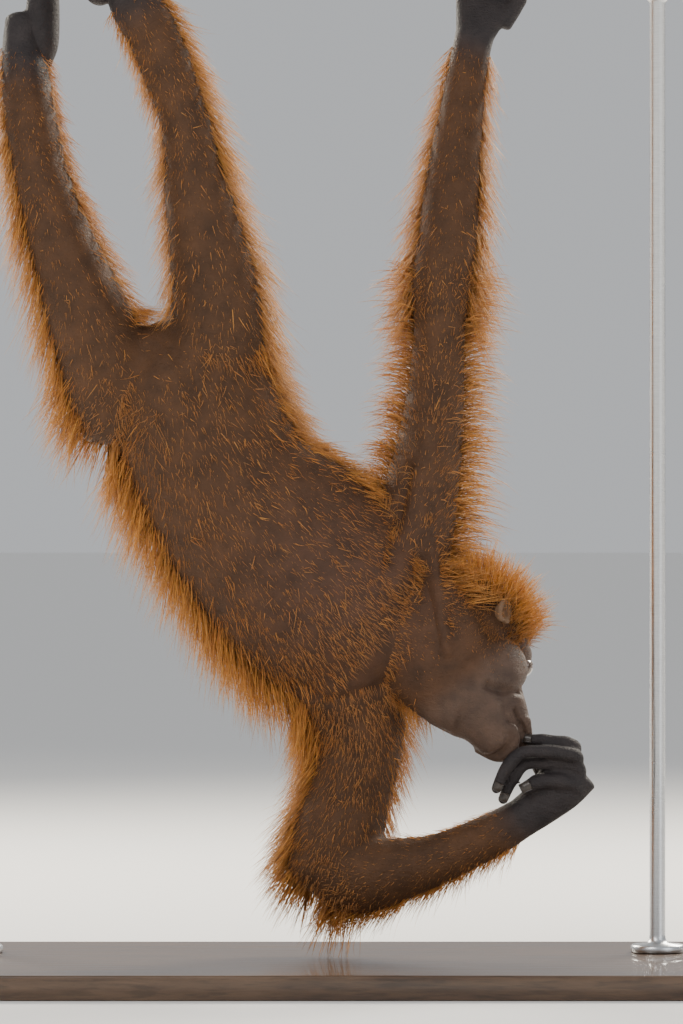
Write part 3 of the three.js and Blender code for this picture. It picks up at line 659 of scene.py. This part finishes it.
def head_forms():
    """All closed forms of the head, as the solids have them, with lids, brow folds and ears."""
    forms = [lump(0, 30, 0, (64, 54, 54)), lump(48, 20, 0, (26, 24, 44))]
    for s in (1, -1):
        out = unit(right * s + forward * 0.35)
        forms += [lump(42, -23, 29 * s, (32, 33, 25)), lump(55, 28, 19 * s, (13, 8, 15)),
                  lump(100, -32, 9 * s, (9, 6, 8)),
                  roll(head(69, 12, 27.5 * s), eye_way(s), right, (10.5, 7.0, 2.9)),
                  lump(63, 1, 28 * s, (8, 4, 12)),
                  roll(head(-4, 4, 59 * s), out, up, (13, 9.5, 3.1)),
                  roll(head(-3, 5, 60 * s), out, up, (8, 5.2, 1.5)),
                  lump(-4, 3, 55 * s, (10, 14, 5)), lump(5, -4, 58 * s, (4, 5, 4.5)),
                  lump(-2, -10, 58 * s, (4.5, 5, 4))]
    muzzle = [[30, -34, 0, 44, 38], [62, -42, 0, 42, 36], [90, -50, 0, 36, 28], [108, -54, 0, 30, 20]]
    chin = [[16, -56, 0, 40, 24], [50, -72, 0, 36, 20], [80, -84, 0, 28, 16], [98, -88, 0, 20, 12]]
    nose = [[58, 8, 0, 9, 9], [80, -14, 0, 9, 8], [98, -28, 0, 14, 7]]
    return forms + [head_tube(muzzle, ends=(0.5, 0.7)), head_tube(chin, ends=(0.5, 0.8)),
                    lip([[100, -56, -30, 7, 8], [118, -57, -16, 9, 9], [124, -58, 0, 10, 9.5]]),
                    lip([[94, -80, -25, 6, 7], [112, -79, -13, 8, 8], [117, -79, 0, 9, 8.5]]),
                    head_tube(nose, n=20, ends=(0.6, 0.6)),
                    tube(neck, n=40, m=30, ends=(0.4, 0.4), shrink=(0.93, 1.0)),
                    tube(jaw, n=40, m=24, ends=(0.5, 0.6))]


def carve_face(mesh):
    """Push points in by bell curves: nostrils, mouth line, eye openings, ear cups, folds of the muzzle."""
    pts = points_of(mesh)
    f, u, r = head_place(pts)
    push = np.zeros((len(pts), 3))
    for s in (1, -1):
        for (at_f, at_u, at_r), (wide_f, wide_u, wide_r), depth, way in (
                ((110, -31, 7.5), (9, 3.6, 4.0), -7.0, unit(forward - up * 0.2)),
                ((70, 12, 28.5), (9, 4.2, 8.5), -6.0, eye_way(s)),
                ((-2, 3, 62), (6.0, 10.5, 7), -6.0, right * s),
                ((-9, 8, 62), (3.0, 6, 6), -2.0, right * s),
                ((82, -30, 26), (12, 14, 8), -3.0, right * s),
                ((76, -52, 34), (16, 14, 12), 2.5, right * s)):
            away = ((f - at_f) / wide_f)**2 + ((u - at_u) / wide_u)**2 + ((r - at_r * s) / wide_r)**2
            push += np.exp(-away)[:, None] * depth * head_size * way
    slit = bell(u + 69.0 - 0.06 * np.abs(r), 2.0) * step(f, 78, 96) * (1 - step(np.abs(r), 30, 40))
    push -= slit[:, None] * 4.2 * head_size * forward
    for at_u in (-46, -52, -62):
        crease = bell(u - at_u, 1.6) * step(f, 96, 110) * (1 - step(np.abs(r), 16, 26))
        push -= crease[:, None] * 0.7 * head_size * forward
    out = rows_of(mesh.vertex_normals, "vector")
    swell = np.zeros(len(pts))
    for line, wide, tall in (
            ([(486, 683), (502, 689), (520, 690)], 0.0042, -0.0065),
            ([(478, 668), (496, 676), (512, 677)], 0.0085, 0.0030),
            ([(513, 709), (518, 720), (527, 737)], 0.0017, -0.0050),
            ([(506, 712), (512, 725), (518, 738)], 0.0040, 0.0022),
            ([(497, 697), (506, 701), (516, 700)], 0.0011, -0.0009),
            ([(501, 704), (508, 707), (514, 706)], 0.0011, -0.0009)):
        swell += ridge(pts, out, line, wide, tall)
    move_points(mesh, pts + push + out * swell[:, None])


def make_head():
    """Head and throat skin, eased along the joint of throat and jaw."""
    obj = melt(mesh_from("head_skin", head_forms()), skin_voxel, rounds=3)
    pts = points_of(obj.data)
    f, _, r = head_place(pts)
    throat = [(446, 590), (476, 616), (488, 660), (495, 700), (500, 728), (470, 744)]
    joint = step(-near_line(pts, throat), -0.020, -0.006)
    ease(obj, joint * (1 - step(f, 88, 98)) * (pts[:, 1] < 0) * (1 - step(r, 44, 50)), rounds=120)
    carve_face(obj.data)
    set_tone(obj.data, marking(points_of(obj.data)))
    return obj


def make_eyes():
    """Eyeballs: dark brown iris, black pupil, darker white, by the angle from the way each looks."""
    white, iris = np.array([0.16, 0.11, 0.085]), np.array([0.10, 0.042, 0.016])
    for s, side in ((1, "right"), (-1, "left")):
        centre = head(63, 12, 28 * s)
        pts, faces = egg(centre, np.full(3, 10.4) * head_size, head_axes, 40, 28)
        obj = mesh_from(f"eyeball_{side}", [(pts, faces)])
        away = unit(pts - centre) @ eye_way(s)
        ring = step(away, 0.80, 0.84)[:, None]
        pupil = step(away, 0.955, 0.965)[:, None]
        set_tone(obj.data, (white * (1 - ring) + iris * ring) * (1 - pupil) + 0.004 * pupil)
        finish_piece(obj, eye_mat, (f"eye_{side}",))


# Hands, feet and their digits

def knuckles(t):
    """A digit's size along it: a little fuller at its two joints, and slimmer between them."""
    return 1 + 0.10 * bell(t - 0.45, 0.07) + 0.10 * bell(t - 0.78, 0.06) - 0.05 * bell(t - 0.6, 0.08)


def make_hands_feet():
    """Hands and feet with their digits and a stub of their limb, melted to one skin piece each."""
    made = []
    for name, palm, limb, start, heel in (
            ("hand_right", hand_right, arm_right, 0.84, 0.3),
            ("hand_left", hand_left, forearm_left, 0.80, 0.3),
            ("foot_left", foot_left, leg_left, 0.86, 0.7),
            ("foot_right", foot_right, leg_right, 0.88, 0.7)):
        forms = [tube(palm, n=32, m=30, ends=(heel, 0.45)),
                 tube(limb.stretch(start, 1.0), n=32, m=16, ends=(0.5, 0.5), shrink=(0.9, 1.0))]
        forms += [tube(digits[d], n=20, m=44, ends=(0.5, 1.0), bumps=knuckles) for d in digits_of(name)]
        obj = melt(mesh_from(name + "_skin", forms), skin_voxel, rounds=2)
        set_tone(obj.data, marking(points_of(obj.data), hand=True))
        made.append(obj)
    return made


def make_nails():
    """A curved horn plate on each digit's tip: a patch of a slightly larger tube, with its own thickness."""
    edge, thick = 9, 0.0016                  # points along each edge; metres
    count = edge * edge
    a, b = np.meshgrid(np.linspace(-1, 1, edge), np.linspace(-1, 1, edge), indexing="ij")
    turn = b * 0.85
    i, j = np.meshgrid(np.arange(edge - 1), np.arange(edge - 1), indexing="ij")
    first = i * edge + j
    top = np.stack([first, first + edge, first + edge + 1, first + 1], -1).reshape(-1, 4)
    rim = np.r_[np.arange(edge), np.arange(2 * edge - 1, count, edge),
                np.arange(count - 2, count - edge - 1, -1), np.arange(count - 2 * edge, 0, -edge)]
    after = np.roll(rim, -1)
    faces = [top, top[:, ::-1] + count, np.stack([after, rim, rim + count, after + count], -1)]
    pieces = []
    for digit, run in digits.items():
        tip = through(run.place, np.array([0.98]))[0]
        if "toe" in digit:
            back = (tip - at(hold["x"], hold["down"], 0)) * [1, 0, 1]
        elif "left" in digit:
            back = np.array([0.2, -0.9, 0.35])
        else:
            back = (tip - at(490, -57, 72)) * [0, 1, 1]
        p, way, _, _, half = (x[0] for x in run.frames(np.array([0.965])))
        back = unit(back - way * (back @ way))
        across = np.cross(way, back)
        r = half.mean()
        lift = r * 1.05 + 0.0008 - 0.35 * r * np.clip(a, 0, 1)**2
        flat = (p + way * (0.35 * r + a[..., None] * r * 0.85) + across * (np.sin(turn) * r * 1.02)[..., None]
                + back * (np.cos(turn) * lift)[..., None])
        pieces.append((np.vstack([flat.reshape(-1, 3), (flat - back * thick).reshape(-1, 3)]), faces))
    finish_piece(mesh_from("nails", pieces), nail_mat)


def make_body():
    """Trunk, neck and limbs melted to one skin, with collar folds, nipples and muscle swellings."""
    forms = [tube(torso, n=64, m=60, ends=(0.5, 0.5)),
             tube(neck, n=48, m=30, ends=(0.4, 0.4), shrink=(1.0, 0.93)),
             tube(arm_right, n=36, m=80, ends=(0.5, 0.2)), tube(upper_arm_left, n=36, m=50, ends=(0.4, 0.7)),
             tube(forearm_left, n=32, m=50, ends=(0.4, 0.2)), tube(leg_left, n=36, m=70, ends=(0.4, 0.3)),
             tube(leg_right, n=36, m=70, ends=(0.4, 0.3)),
             egg(at(345, 664, 6), np.array([0.060, 0.060, 0.066]), np.eye(3), 32, 20)]
    obj = melt(mesh_from("body_skin", forms), body_voxel, rounds=5)
    pts = points_of(obj.data)
    joints = [((340, 672, 0), 0.075), ((398, 560, 5), 0.060), ((130, 395, -5), 0.060),
              ((212, 372, -10), 0.060), ((176, 345, 0), 0.045), ((324, 868, 8), 0.040),
              ((398, 640, 0), 0.050)]
    ease(obj, sum(1.3 * bell(far(pts, at(*place)), wide) for place, wide in joints), rounds=70)
    pts, out = points_of(obj.data), rows_of(obj.data.vertex_normals, "vector")
    swell = np.zeros(len(pts))
    for place, size, tall in (((398, 540, -32), 0.0045, 0.0050), ((300, 600, -84), 0.0045, 0.0045)):
        swell += tall * bell(far(pts, at(*place)), size)
    for line, wide, tall in (
            ([(427, 530), (433, 570), (440, 610), (446, 650)], 0.0065, 0.0060),
            ([(400, 575), (414, 520), (424, 470), (430, 430)], 0.0120, 0.0060),
            ([(388, 560), (400, 515), (410, 470)], 0.0050, -0.0050),
            ([(418, 560), (426, 600), (432, 640)], 0.0050, -0.0035),
            ([(292, 684), (330, 700), (372, 690), (396, 676)], 0.0060, -0.0030),
            ([(160, 330), (176, 352), (200, 400)], 0.0060, -0.0030)):
        swell += ridge(pts, out, line, wide, tall)
    move_points(obj.data, pts + out * swell[:, None])
    set_tone(obj.data, marking(points_of(obj.data)))
    return obj


body = make_body()
head_skin = make_head()
make_eyes()
small_skins = make_hands_feet()
make_nails()

flesh = ["pelvis", "abdomen", "chest", "neck", "upper_arm_right", "forearm_right", "upper_arm_left",
         "forearm_left", "thigh_left", "shank_left", "thigh_right", "shank_right"]
finish_piece(body, skin_mat, flesh)
finish_piece(head_skin, skin_mat, ("head", "ear_right", "ear_left"))
for piece in small_skins:
    own = piece.name.replace("_skin", "")
    finish_piece(piece, skin_mat, [own] + digits_of(own))


# Coat

coat_mat, fuzz_mat = coat_material("long_coat", 0.5), coat_material("short_coat", 0.6)
share = 1.0       # of the hairs
patch_size = 0.003                       # of a tuft's patch on the unwrap
hair_width, fuzz_width = 0.00095, 0.00078
rust, gold = np.array([0.46, 0.135, 0.020]), np.array([0.80, 0.37, 0.065])
brown = np.array([0.15, 0.050, 0.016])


def tree_of(obj):
    """A search tree of a mesh's faces."""
    mesh = obj.data
    return BVHTree.FromPolygons([v.co for v in mesh.vertices], [p.vertices for p in mesh.polygons])


skin_tree = tree_of(body)


def settle(roots, tree, reach):
    """Each root moved onto the skin; True where the skin was within reach."""
    kept, place, out = [], [], []
    for p in roots:
        hit, normal, _, away = tree.find_nearest(Vector(p))
        kept.append(away is not None and away < reach)
        place.append(hit if hit else p)
        out.append(normal if normal else (0, 0, 1))
    return np.array(kept), np.array(place), np.array(out)


def tufts(name, roots, out, lay, long, thick, drop, uv, tone, rings, seed, clump=None):
    """Tapered three-sided hairs, closed at both ends.

    Each runs from under its root along its lay, bends and drops by the square of the way along it,
    wavers a little, and is pulled to its clump's tip.
    """
    own = np.random.default_rng(seed)
    n, sunk, waver = len(roots), 0.0025, 0.012
    s = np.linspace(0, 1, rings + 1)[None, :, None]
    wave = own.normal(0, 1, (n, 1, 3))
    bend = own.normal(0, 0.10, (n, 1, 3))
    phase = own.uniform(0, 6, (n, 1, 1))
    long3 = long[:, None, None]
    line = ((roots - out * sunk)[:, None] + lay[:, None] * long3 * s + bend * long3 * s**2
            + down_way * drop[:, None, None] * long3 * s**2 + waver * wave * long3 * np.sin(s * 7 + phase))
    if clump:
        tip, pull = clump
        line = line + (tip[:, None] - line[:, -1:]) * pull * s**1.6
    way = unit(np.gradient(line, axis=1))
    wide = unit(np.cross(way, out[:, None] + 1e-4))
    high = np.cross(wide, way)
    size = thick[:, None, None] * (1 - 0.92 * s**1.5) * 0.5
    angle = np.radians([90, 210, 330])
    corner = np.stack([line + size * (1.35 * np.cos(a) * wide + 0.8 * np.sin(a) * high) for a in angle], 2)
    pts = np.concatenate([corner[:, :-1].reshape(n, rings * 3, 3), line[:, -1:]], 1)
    per = rings * 3 + 1
    last, j = (rings - 1) * 3, np.arange(3)
    quads = grid_faces(rings, 3)[:, [0, 3, 2, 1]]
    tris = np.vstack([np.stack([last + j, np.full(3, per - 1), last + (j + 1) % 3], -1), [[0, 1, 2]]])
    start = (np.arange(n) * per)[:, None, None]
    quads, tris = (quads[None] + start).reshape(-1, 4), (tris[None] + start).reshape(-1, 3)
    loops = np.concatenate([quads.ravel(), tris.ravel()])
    starts = np.concatenate([np.arange(len(quads)) * 4, len(quads) * 4 + np.arange(len(tris)) * 3])
    mesh = bpy.data.meshes.new(name)
    mesh.vertices.add(n * per)
    mesh.vertices.foreach_set("co", pts.ravel())
    mesh.loops.add(len(loops))
    mesh.loops.foreach_set("vertex_index", loops.astype(np.int32))
    mesh.polygons.add(len(starts))
    mesh.polygons.foreach_set("loop_start", starts.astype(np.int32))
    mesh.update(calc_edges=True)
    mesh.validate()
    mesh.polygons.foreach_set("use_smooth", np.ones(len(mesh.polygons), bool))
    along = np.concatenate([np.repeat(np.linspace(0, 1, rings + 1)[:-1], 3), [1.0]])
    around = np.concatenate([np.tile([0.0, 0.5, 1.0], rings), [0.5]])
    patch = uv[:, None] + patch_size * np.stack([around, along], -1)[None]
    layer = mesh.uv_layers.new(name="OFBake")
    layer.data.foreach_set("uv", patch.reshape(-1, 2)[loops].ravel())
    # Painted light along each hair: darker towards the root, a painted shade among the hairs, and paler gold
    # towards the tip, a painted backlit glow.
    shade = (0.42 + 0.80 * along**0.7)[None, :, None]
    painted_tip_glow = (0.45 * along**1.5)[None, :, None]
    colours = tone[:, None] * shade * (1 - painted_tip_glow) + (0.45 * tone[:, None] + 0.45 * gold) * painted_tip_glow
    set_tone(mesh, colours.reshape(-1, 3))
    return new_object(name, mesh)


def hair_tone(n, own, golden, dark):
    """Rust to gold by golden, darkened towards brown by dark, each hair a little of its own."""
    k = np.clip(own.normal(golden, 0.20, (n, 1)), 0, 1)
    d = np.clip(own.normal(dark, 0.14, (n, 1)), 0, 0.95)
    return (rust * (1 - k) + gold * k) * (1 - d) + brown * d


def clump_of(place, groups, own):
    """For each hair, the hair that leads its clump: the nearest of a random few."""
    pick = own.integers(0, len(place), groups)
    tree = KDTree(groups)
    for g, q in enumerate(pick):
        tree.insert(Vector(place[q]), g)
    tree.balance()
    member = np.array([tree.find(Vector(q))[1] for q in place])
    return member, pick[member]


rump = Run([
    [128, 330, 6, 30, 40], [150, 335, 6, 36, 52], [176, 340, 4, 38, 56], [204, 345, 2, 36, 52],
    [226, 350, 0, 30, 40]], (0, 0, 1))
elbow = Run([
    [326, 850, 12, 46, 40], [316, 876, 10, 44, 40], [308, 900, 8, 34, 30], [302, 914, 8, 16, 14]], (1, 0, 0))
hip = Run([
    [146, 392, 0, 60, 56], [132, 414, 0, 56, 54], [118, 436, 2, 44, 42], [108, 452, 2, 22, 20]], (1, 0, 0))


def patch_at(cell, across, along):
    """The middle of each tuft's patch on the unwrap: its place, 0 to 1 each way, in one of 4 by 4 cells."""
    size, margin, room = 0.25, 0.008, 0.228
    return np.array([cell % 4, cell // 4]) * size + margin + room * np.stack([across, along], -1)


def roots_on(run, cell, spread, count, outer, own, extra, favour):
    """Roots over a run, even by area: point, outward, way, place along, length share and patch.

    The length share is 0 where the skin faces the viewer, rises to 1 where it turns away,
    and is highest on the side that faces outer. Of extra times count roots, count are kept,
    by chance and by favour of their share.
    """
    t = np.linspace(spread[0], spread[1], 200)
    p, _, _, _, half = run.frames(t)
    weight = np.linalg.norm(np.gradient(p, axis=0), axis=1) * half.sum(1)
    tries = int(count * share * extra)
    root_t = np.interp(own.random(tries), np.cumsum(weight) / weight.sum(), t)
    turn = own.random(tries) * 2 * np.pi
    place, way = run.point(root_t, turn)
    reach = 0.030 if run in (rump, elbow, hip) else 0.012
    ok, place, normal = settle(place, skin_tree, reach)
    away = 1 - step(-normal[:, 1], 0.10, 0.62)
    k = away * (0.55 + 0.45 * step(normal @ unit(np.array(outer, float)), -0.55, 0.35))
    found = np.nonzero(ok)[0]
    keep = found[np.argsort(own.random(len(found)) / favour(k[found]))[:int(count * share)]]
    return [x[keep] for x in (place, normal, way, root_t, k, patch_at(cell, turn / (2 * np.pi), root_t))]


def long_coat(name, run, cell, count, spread, outer, flow, long, lift, drop, fade, seed):
    """Long hairs over one run, standing off where the skin turns away, gathered loosely in clumps."""
    own = np.random.default_rng(seed)
    place, normal, way, root_t, k, patch = roots_on(
        run, cell, spread, count, outer, own, extra=2.4, favour=lambda k: 0.03 + k)
    n = len(place)
    length = long * (0.25 + 0.75 * k) * own.uniform(0.60, 1.22, n) * np.interp(root_t, spread, (1, fade))
    lay = unit(way * flow + normal * (lift * own.uniform(0.6, 1.4, (n, 1))) + own.normal(0, 0.16, (n, 3)))
    sag = drop * own.uniform(0.6, 1.4, n)
    member, lead = clump_of(place, max(n // 9, 1), own)
    tip = place[lead] + lay[lead] * length[:, None] + down_way * (sag[lead] * length)[:, None]
    tip += own.normal(0, 0.005, (n, 3))
    # Painted light: hairs grow more golden where the skin turns away from the viewer, a painted backlit glow,
    # and darker brown where it faces the viewer, a painted shade.
    tone = hair_tone(n, own, 0.30 + 0.35 * k[:, None], 0.30 - 0.22 * k[:, None])
    tone *= own.uniform(0.88, 1.10, (member.max() + 1, 1))[member]
    thick = hair_width * own.uniform(0.65, 1.25, n)
    pull = own.uniform(0.10, 0.50, (n, 1, 1))
    obj = tufts(name, place, normal, lay, length, thick, sag, patch, tone,
                rings=4, seed=seed + 1, clump=(tip, pull))
    finish_piece(obj, coat_mat)


def short_coat(name, run, cell, count, spread, flow, long, seed):
    """Short hairs lying along the skin on the side towards the viewer, where the long coat thins out."""
    own = np.random.default_rng(seed)
    place, normal, way, _, k, patch = roots_on(
        run, cell, spread, count, (0, 1, 0), own, extra=2.2, favour=lambda k: 1.02 - k)
    n = len(place)
    length = long * own.uniform(0.6, 1.35, n)
    lay = unit(way * flow + normal * own.uniform(0.16, 0.42, (n, 1)) + own.normal(0, 0.17, (n, 3)))
    # Painted light: short hairs darker brown where the skin faces the viewer, a painted shade, and more
    # golden where it turns away, a painted backlit glow.
    tone = hair_tone(n, own, 0.18 + 0.3 * k[:, None], 0.52 - 0.38 * k[:, None])
    thick = fuzz_width * own.uniform(0.7, 1.25, n)
    obj = tufts(name, place, normal, lay, length, thick, np.full(n, 0.06), patch, tone,
                rings=2, seed=seed + 1)
    finish_piece(obj, fuzz_mat)


# For each run: name, run, cell of the unwrap; the long coat's count, spread along, outer side, flow,
# length, lift, drop and fade; then the short coat's count and length.
outer_left = (-0.45, 0.80, -0.35)
coats = (
    ("trunk_upper", torso, 0, 7000, (0.02, 0.50), outer_left, 0.8, 0.058, 0.70, 0.20, 1.0, 5000, 0.013),
    ("trunk_lower", torso, 0, 7000, (0.50, 0.98), outer_left, 0.8, 0.058, 0.70, 0.20, 1.0, 6000, 0.012),
    ("arm_right_upper", arm_right, 1, 4500, (0.05, 0.56), (0.1, 0.9, 0), 0.5, 0.055, 0.8, 0.5, 1.0,
     3700, 0.010),
    ("arm_right_fore", arm_right, 2, 3500, (0.50, 0.965), (0.1, 0.9, 0), -0.9, 0.058, 0.7, 0.3, 0.5,
     3000, 0.009),
    ("arm_left_upper", upper_arm_left, 3, 3900, (0.15, 0.99), (-0.8, 0.45, -0.2), 1.0, 0.056, 0.65, 0.2, 0.8,
     3400, 0.011),
    ("arm_left_fore", forearm_left, 4, 2800, (0.03, 0.93), (-0.1, 0.6, -0.7), -1.0, 0.036, 0.5, 0.25, 0.7,
     3000, 0.009),
    ("leg_left_upper", leg_left, 5, 3200, (0.03, 0.56), (-0.5, 0.8, -0.2), -1.0, 0.054, 0.75, 0.2, 0.95,
     3000, 0.010),
    ("leg_left_lower", leg_left, 6, 2500, (0.50, 0.93), (-0.5, 0.8, 0), -1.0, 0.052, 0.7, 0.15, 0.55,
     2300, 0.009),
    ("leg_right_upper", leg_right, 7, 3200, (0.04, 0.60), (0.5, 0.8, -0.2), -1.0, 0.052, 0.75, 0.2, 0.95,
     3000, 0.010),
    ("leg_right_lower", leg_right, 8, 2500, (0.55, 0.95), (0.5, 0.8, 0), -1.0, 0.050, 0.7, 0.15, 0.55,
     2300, 0.009),
    ("rump", rump, 11, 1200, (0.02, 0.98), (0, 0.9, 0.4), 1.0, 0.042, 0.5, 0.2, 1.0, 300, 0.010),
    ("elbow", elbow, 12, 700, (0.02, 0.98), (-0.6, 0.3, -0.6), 1.0, 0.044, 0.6, 0.1, 1.0, 300, 0.010),
    ("hip", hip, 13, 700, (0.02, 0.98), (-0.6, 0.5, -0.5), 1.0, 0.046, 0.6, 0.2, 1.0, 300, 0.010),
    ("neck", neck, 9, 1500, (0.0, 0.7), (0.25, 0.85, 0.45), 0.5, 0.042, 0.7, 0.12, 1.0, 2300, 0.008))
for i, (name, run, cell, count, spread, outer, flow, *rest, few, short) in enumerate(coats):
    long_coat("coat_" + name, run, cell, count, spread, outer, flow, *rest, 100 + 4 * i)
    short_coat("fuzz_" + name, run, cell, few, spread, np.sign(flow), short, 102 + 4 * i)


def coat_head():
    """Crown hair standing up off the head behind brow and ears, by the head's own angles."""
    own = np.random.default_rng(190)
    count, most = int(11000 * share), 6800
    tree = tree_of(head_skin)
    lat, lon = np.arcsin(own.uniform(-0.9, 1, count)), own.uniform(-np.pi, np.pi, count)
    ways = np.cos(lat)[:, None] * (np.cos(lon)[:, None] * forward + np.sin(lon)[:, None] * right)
    ways += np.sin(lat)[:, None] * up
    centre, cast = head(10, 10, 0), 0.25
    place, out, kept = [], [], []
    for w in ways:
        hit, normal, _, _ = tree.ray_cast(Vector(centre + w * cast), Vector(-w))
        kept.append(hit is not None)
        place.append(hit if hit else centre)
        out.append(normal if normal else w)
    kept, place, out = np.array(kept), np.array(place), np.array(out)
    f, u, r = head_place(place)
    bare = step(f, 30, 58) * (1 - step(u, 34, 52)) + step(f, 66, 80)
    bare = bare + bell(np.hypot(f + 3, u - 3), 14) * (np.abs(r) > 44) + (u < -25) * 0.55
    kept &= own.random(count) > np.clip(bare, 0, 0.97)
    place, out, lat, lon, f, u = (x[kept][:most] for x in (place, out, lat, lon, f, u))
    n = len(place)
    crown = step(u, -5, 30) * (1 - step(f, 30, 62))
    length = (0.006 + 0.032 * crown) * own.uniform(0.6, 1.25, n)
    lay = unit(-forward * 0.45 + out * 0.85 + up * 0.1 + own.normal(0, 0.17, (n, 3)))
    # Crown hair paler gold and the short hair below the crown darker brown: partly the coat's own colour,
    # partly a painted backlit glow on the crown.
    tone = hair_tone(n, own, 0.25 + 0.4 * crown[:, None], 0.55 - 0.45 * crown[:, None])
    thick = (0.0006 + 0.0003 * crown) * own.uniform(0.7, 1.2, n)
    patch = patch_at(10, (lon + np.pi) / (2 * np.pi), (lat + np.pi / 2) / np.pi)
    obj = tufts("coat_head", place, out, lay, length, thick, np.full(n, 0.12), patch, tone,
                rings=4, seed=191)
    finish_piece(obj, fuzz_mat)


coat_head()


# Perch and stand

def rough_tube(run, m, seed, n=40):
    """A limb's closed surface, its girth raised and lowered by ripples and five knots."""
    own = np.random.default_rng(seed)
    t = np.linspace(0, 1, m)
    p, _, s, u, half = run.frames(t)
    knots = [(own.random(), own.random() * 6.28, own.uniform(0.0015, 0.003)) for _ in range(5)]
    along, turn = np.meshgrid(t, circle(n), indexing="ij")
    swell = -0.0004 + 0.0008 * np.sin(turn * 3 + along * 9) * np.sin(along * 23)
    for at_t, at_turn, tall in knots:
        aside = np.angle(np.exp(1j * (turn - at_turn)))
        swell += tall * np.exp(-((along - at_t) / 0.012)**2 - (aside / 0.5)**2)
    c, d, swell = (x[..., None] for x in (np.cos(turn), np.sin(turn), swell))
    return closed(p[:, None] + (half[:, None, :1] + swell) * c * s[:, None]
                  + (half[:, None, 1:] + swell) * d * u[:, None])


def make_perch():
    """Cut branch: two limbs melted where they fork, with their flat cut ends marked for the material."""
    limbs = [rough_tube(main_limb, 260, 7), rough_tube(side_limb, 90, 8)]
    obj = melt(mesh_from("branch", limbs), bark_voxel, rounds=1)
    x, y = points_of(obj.data)[:, :2].T
    left, right_end, front = at(-55, -78, 72)[0], at(690, -50, 70)[0], at(82, -73, -135)[1]
    cut = np.maximum.reduce([step(left - x, -0.0022, -0.0008), step(x - right_end, -0.0022, -0.0008),
                             step(front - y, -0.0026, -0.0008)])
    mark = obj.data.attributes.new("cut", "FLOAT", "POINT")
    mark.data.foreach_set("value", cut)
    finish_piece(obj, bark_material(), ("perch_branch",))


def lathe(x, y, profile, n=64):
    """A profile of (radius, height) turned about an upright line, shut top and bottom."""
    profile = np.array(profile)
    turn = circle(n)
    rings = np.stack([x + profile[:, :1] * np.cos(turn), y + profile[:, :1] * np.sin(turn),
                      np.repeat(profile[:, 1:], n, 1)], -1)
    return closed(rings)


def make_stand():
    """Base board with an eased top edge; rods with a foot disc and a collar, up to the branch."""
    wide, deep, thick, corner, eased, n = 0.41, 0.22, 0.024, 0.060, 0.003, 96
    c, s = np.cos(circle(n)), np.sin(circle(n))
    cx, cy = np.sign(c) * (wide - corner), np.sign(s) * (deep - corner)

    def level(z, inset):
        return np.stack([cx + (corner - inset) * c, cy + (corner - inset) * s, np.full(n, z)], -1)
    rings = [level(0, 0.001), level(0.001, 0), level(thick - eased, 0)]
    rings += [level(thick - eased + eased * np.sin(a), eased - eased * np.cos(a))
              for a in np.linspace(0.3, np.pi / 2, 5)]
    rings += [level(thick, 0.006)]
    board = mesh_from("base_board", [closed(np.array(rings))])
    finish_piece(board, wood_material(), ("stand_base",))
    steel, z0 = steel_material(), thick + 0.0003
    for name, x, middle, girth in (("left", -0.370, 1.0585, 0.0225), ("right", 0.320, 1.0325, 0.0172)):
        top = middle - girth
        profile = [(0.026, z0), (0.027, z0 + 0.001), (0.027, z0 + 0.006), (0.0255, z0 + 0.008),
                   (0.011, z0 + 0.0095), (0.0085, z0 + 0.013), (0.008, z0 + 0.018), (0.008, top - 0.030),
                   (0.0095, top - 0.028), (0.0135, top - 0.024), (0.014, top - 0.022), (0.014, top - 0.001),
                   (0.0135, top)]
        rod = mesh_from(f"rod_{name}", [lathe(x, 0.072, profile)])
        finish_piece(rod, steel, (f"stand_rod_{name}",))


make_perch()
make_stand()
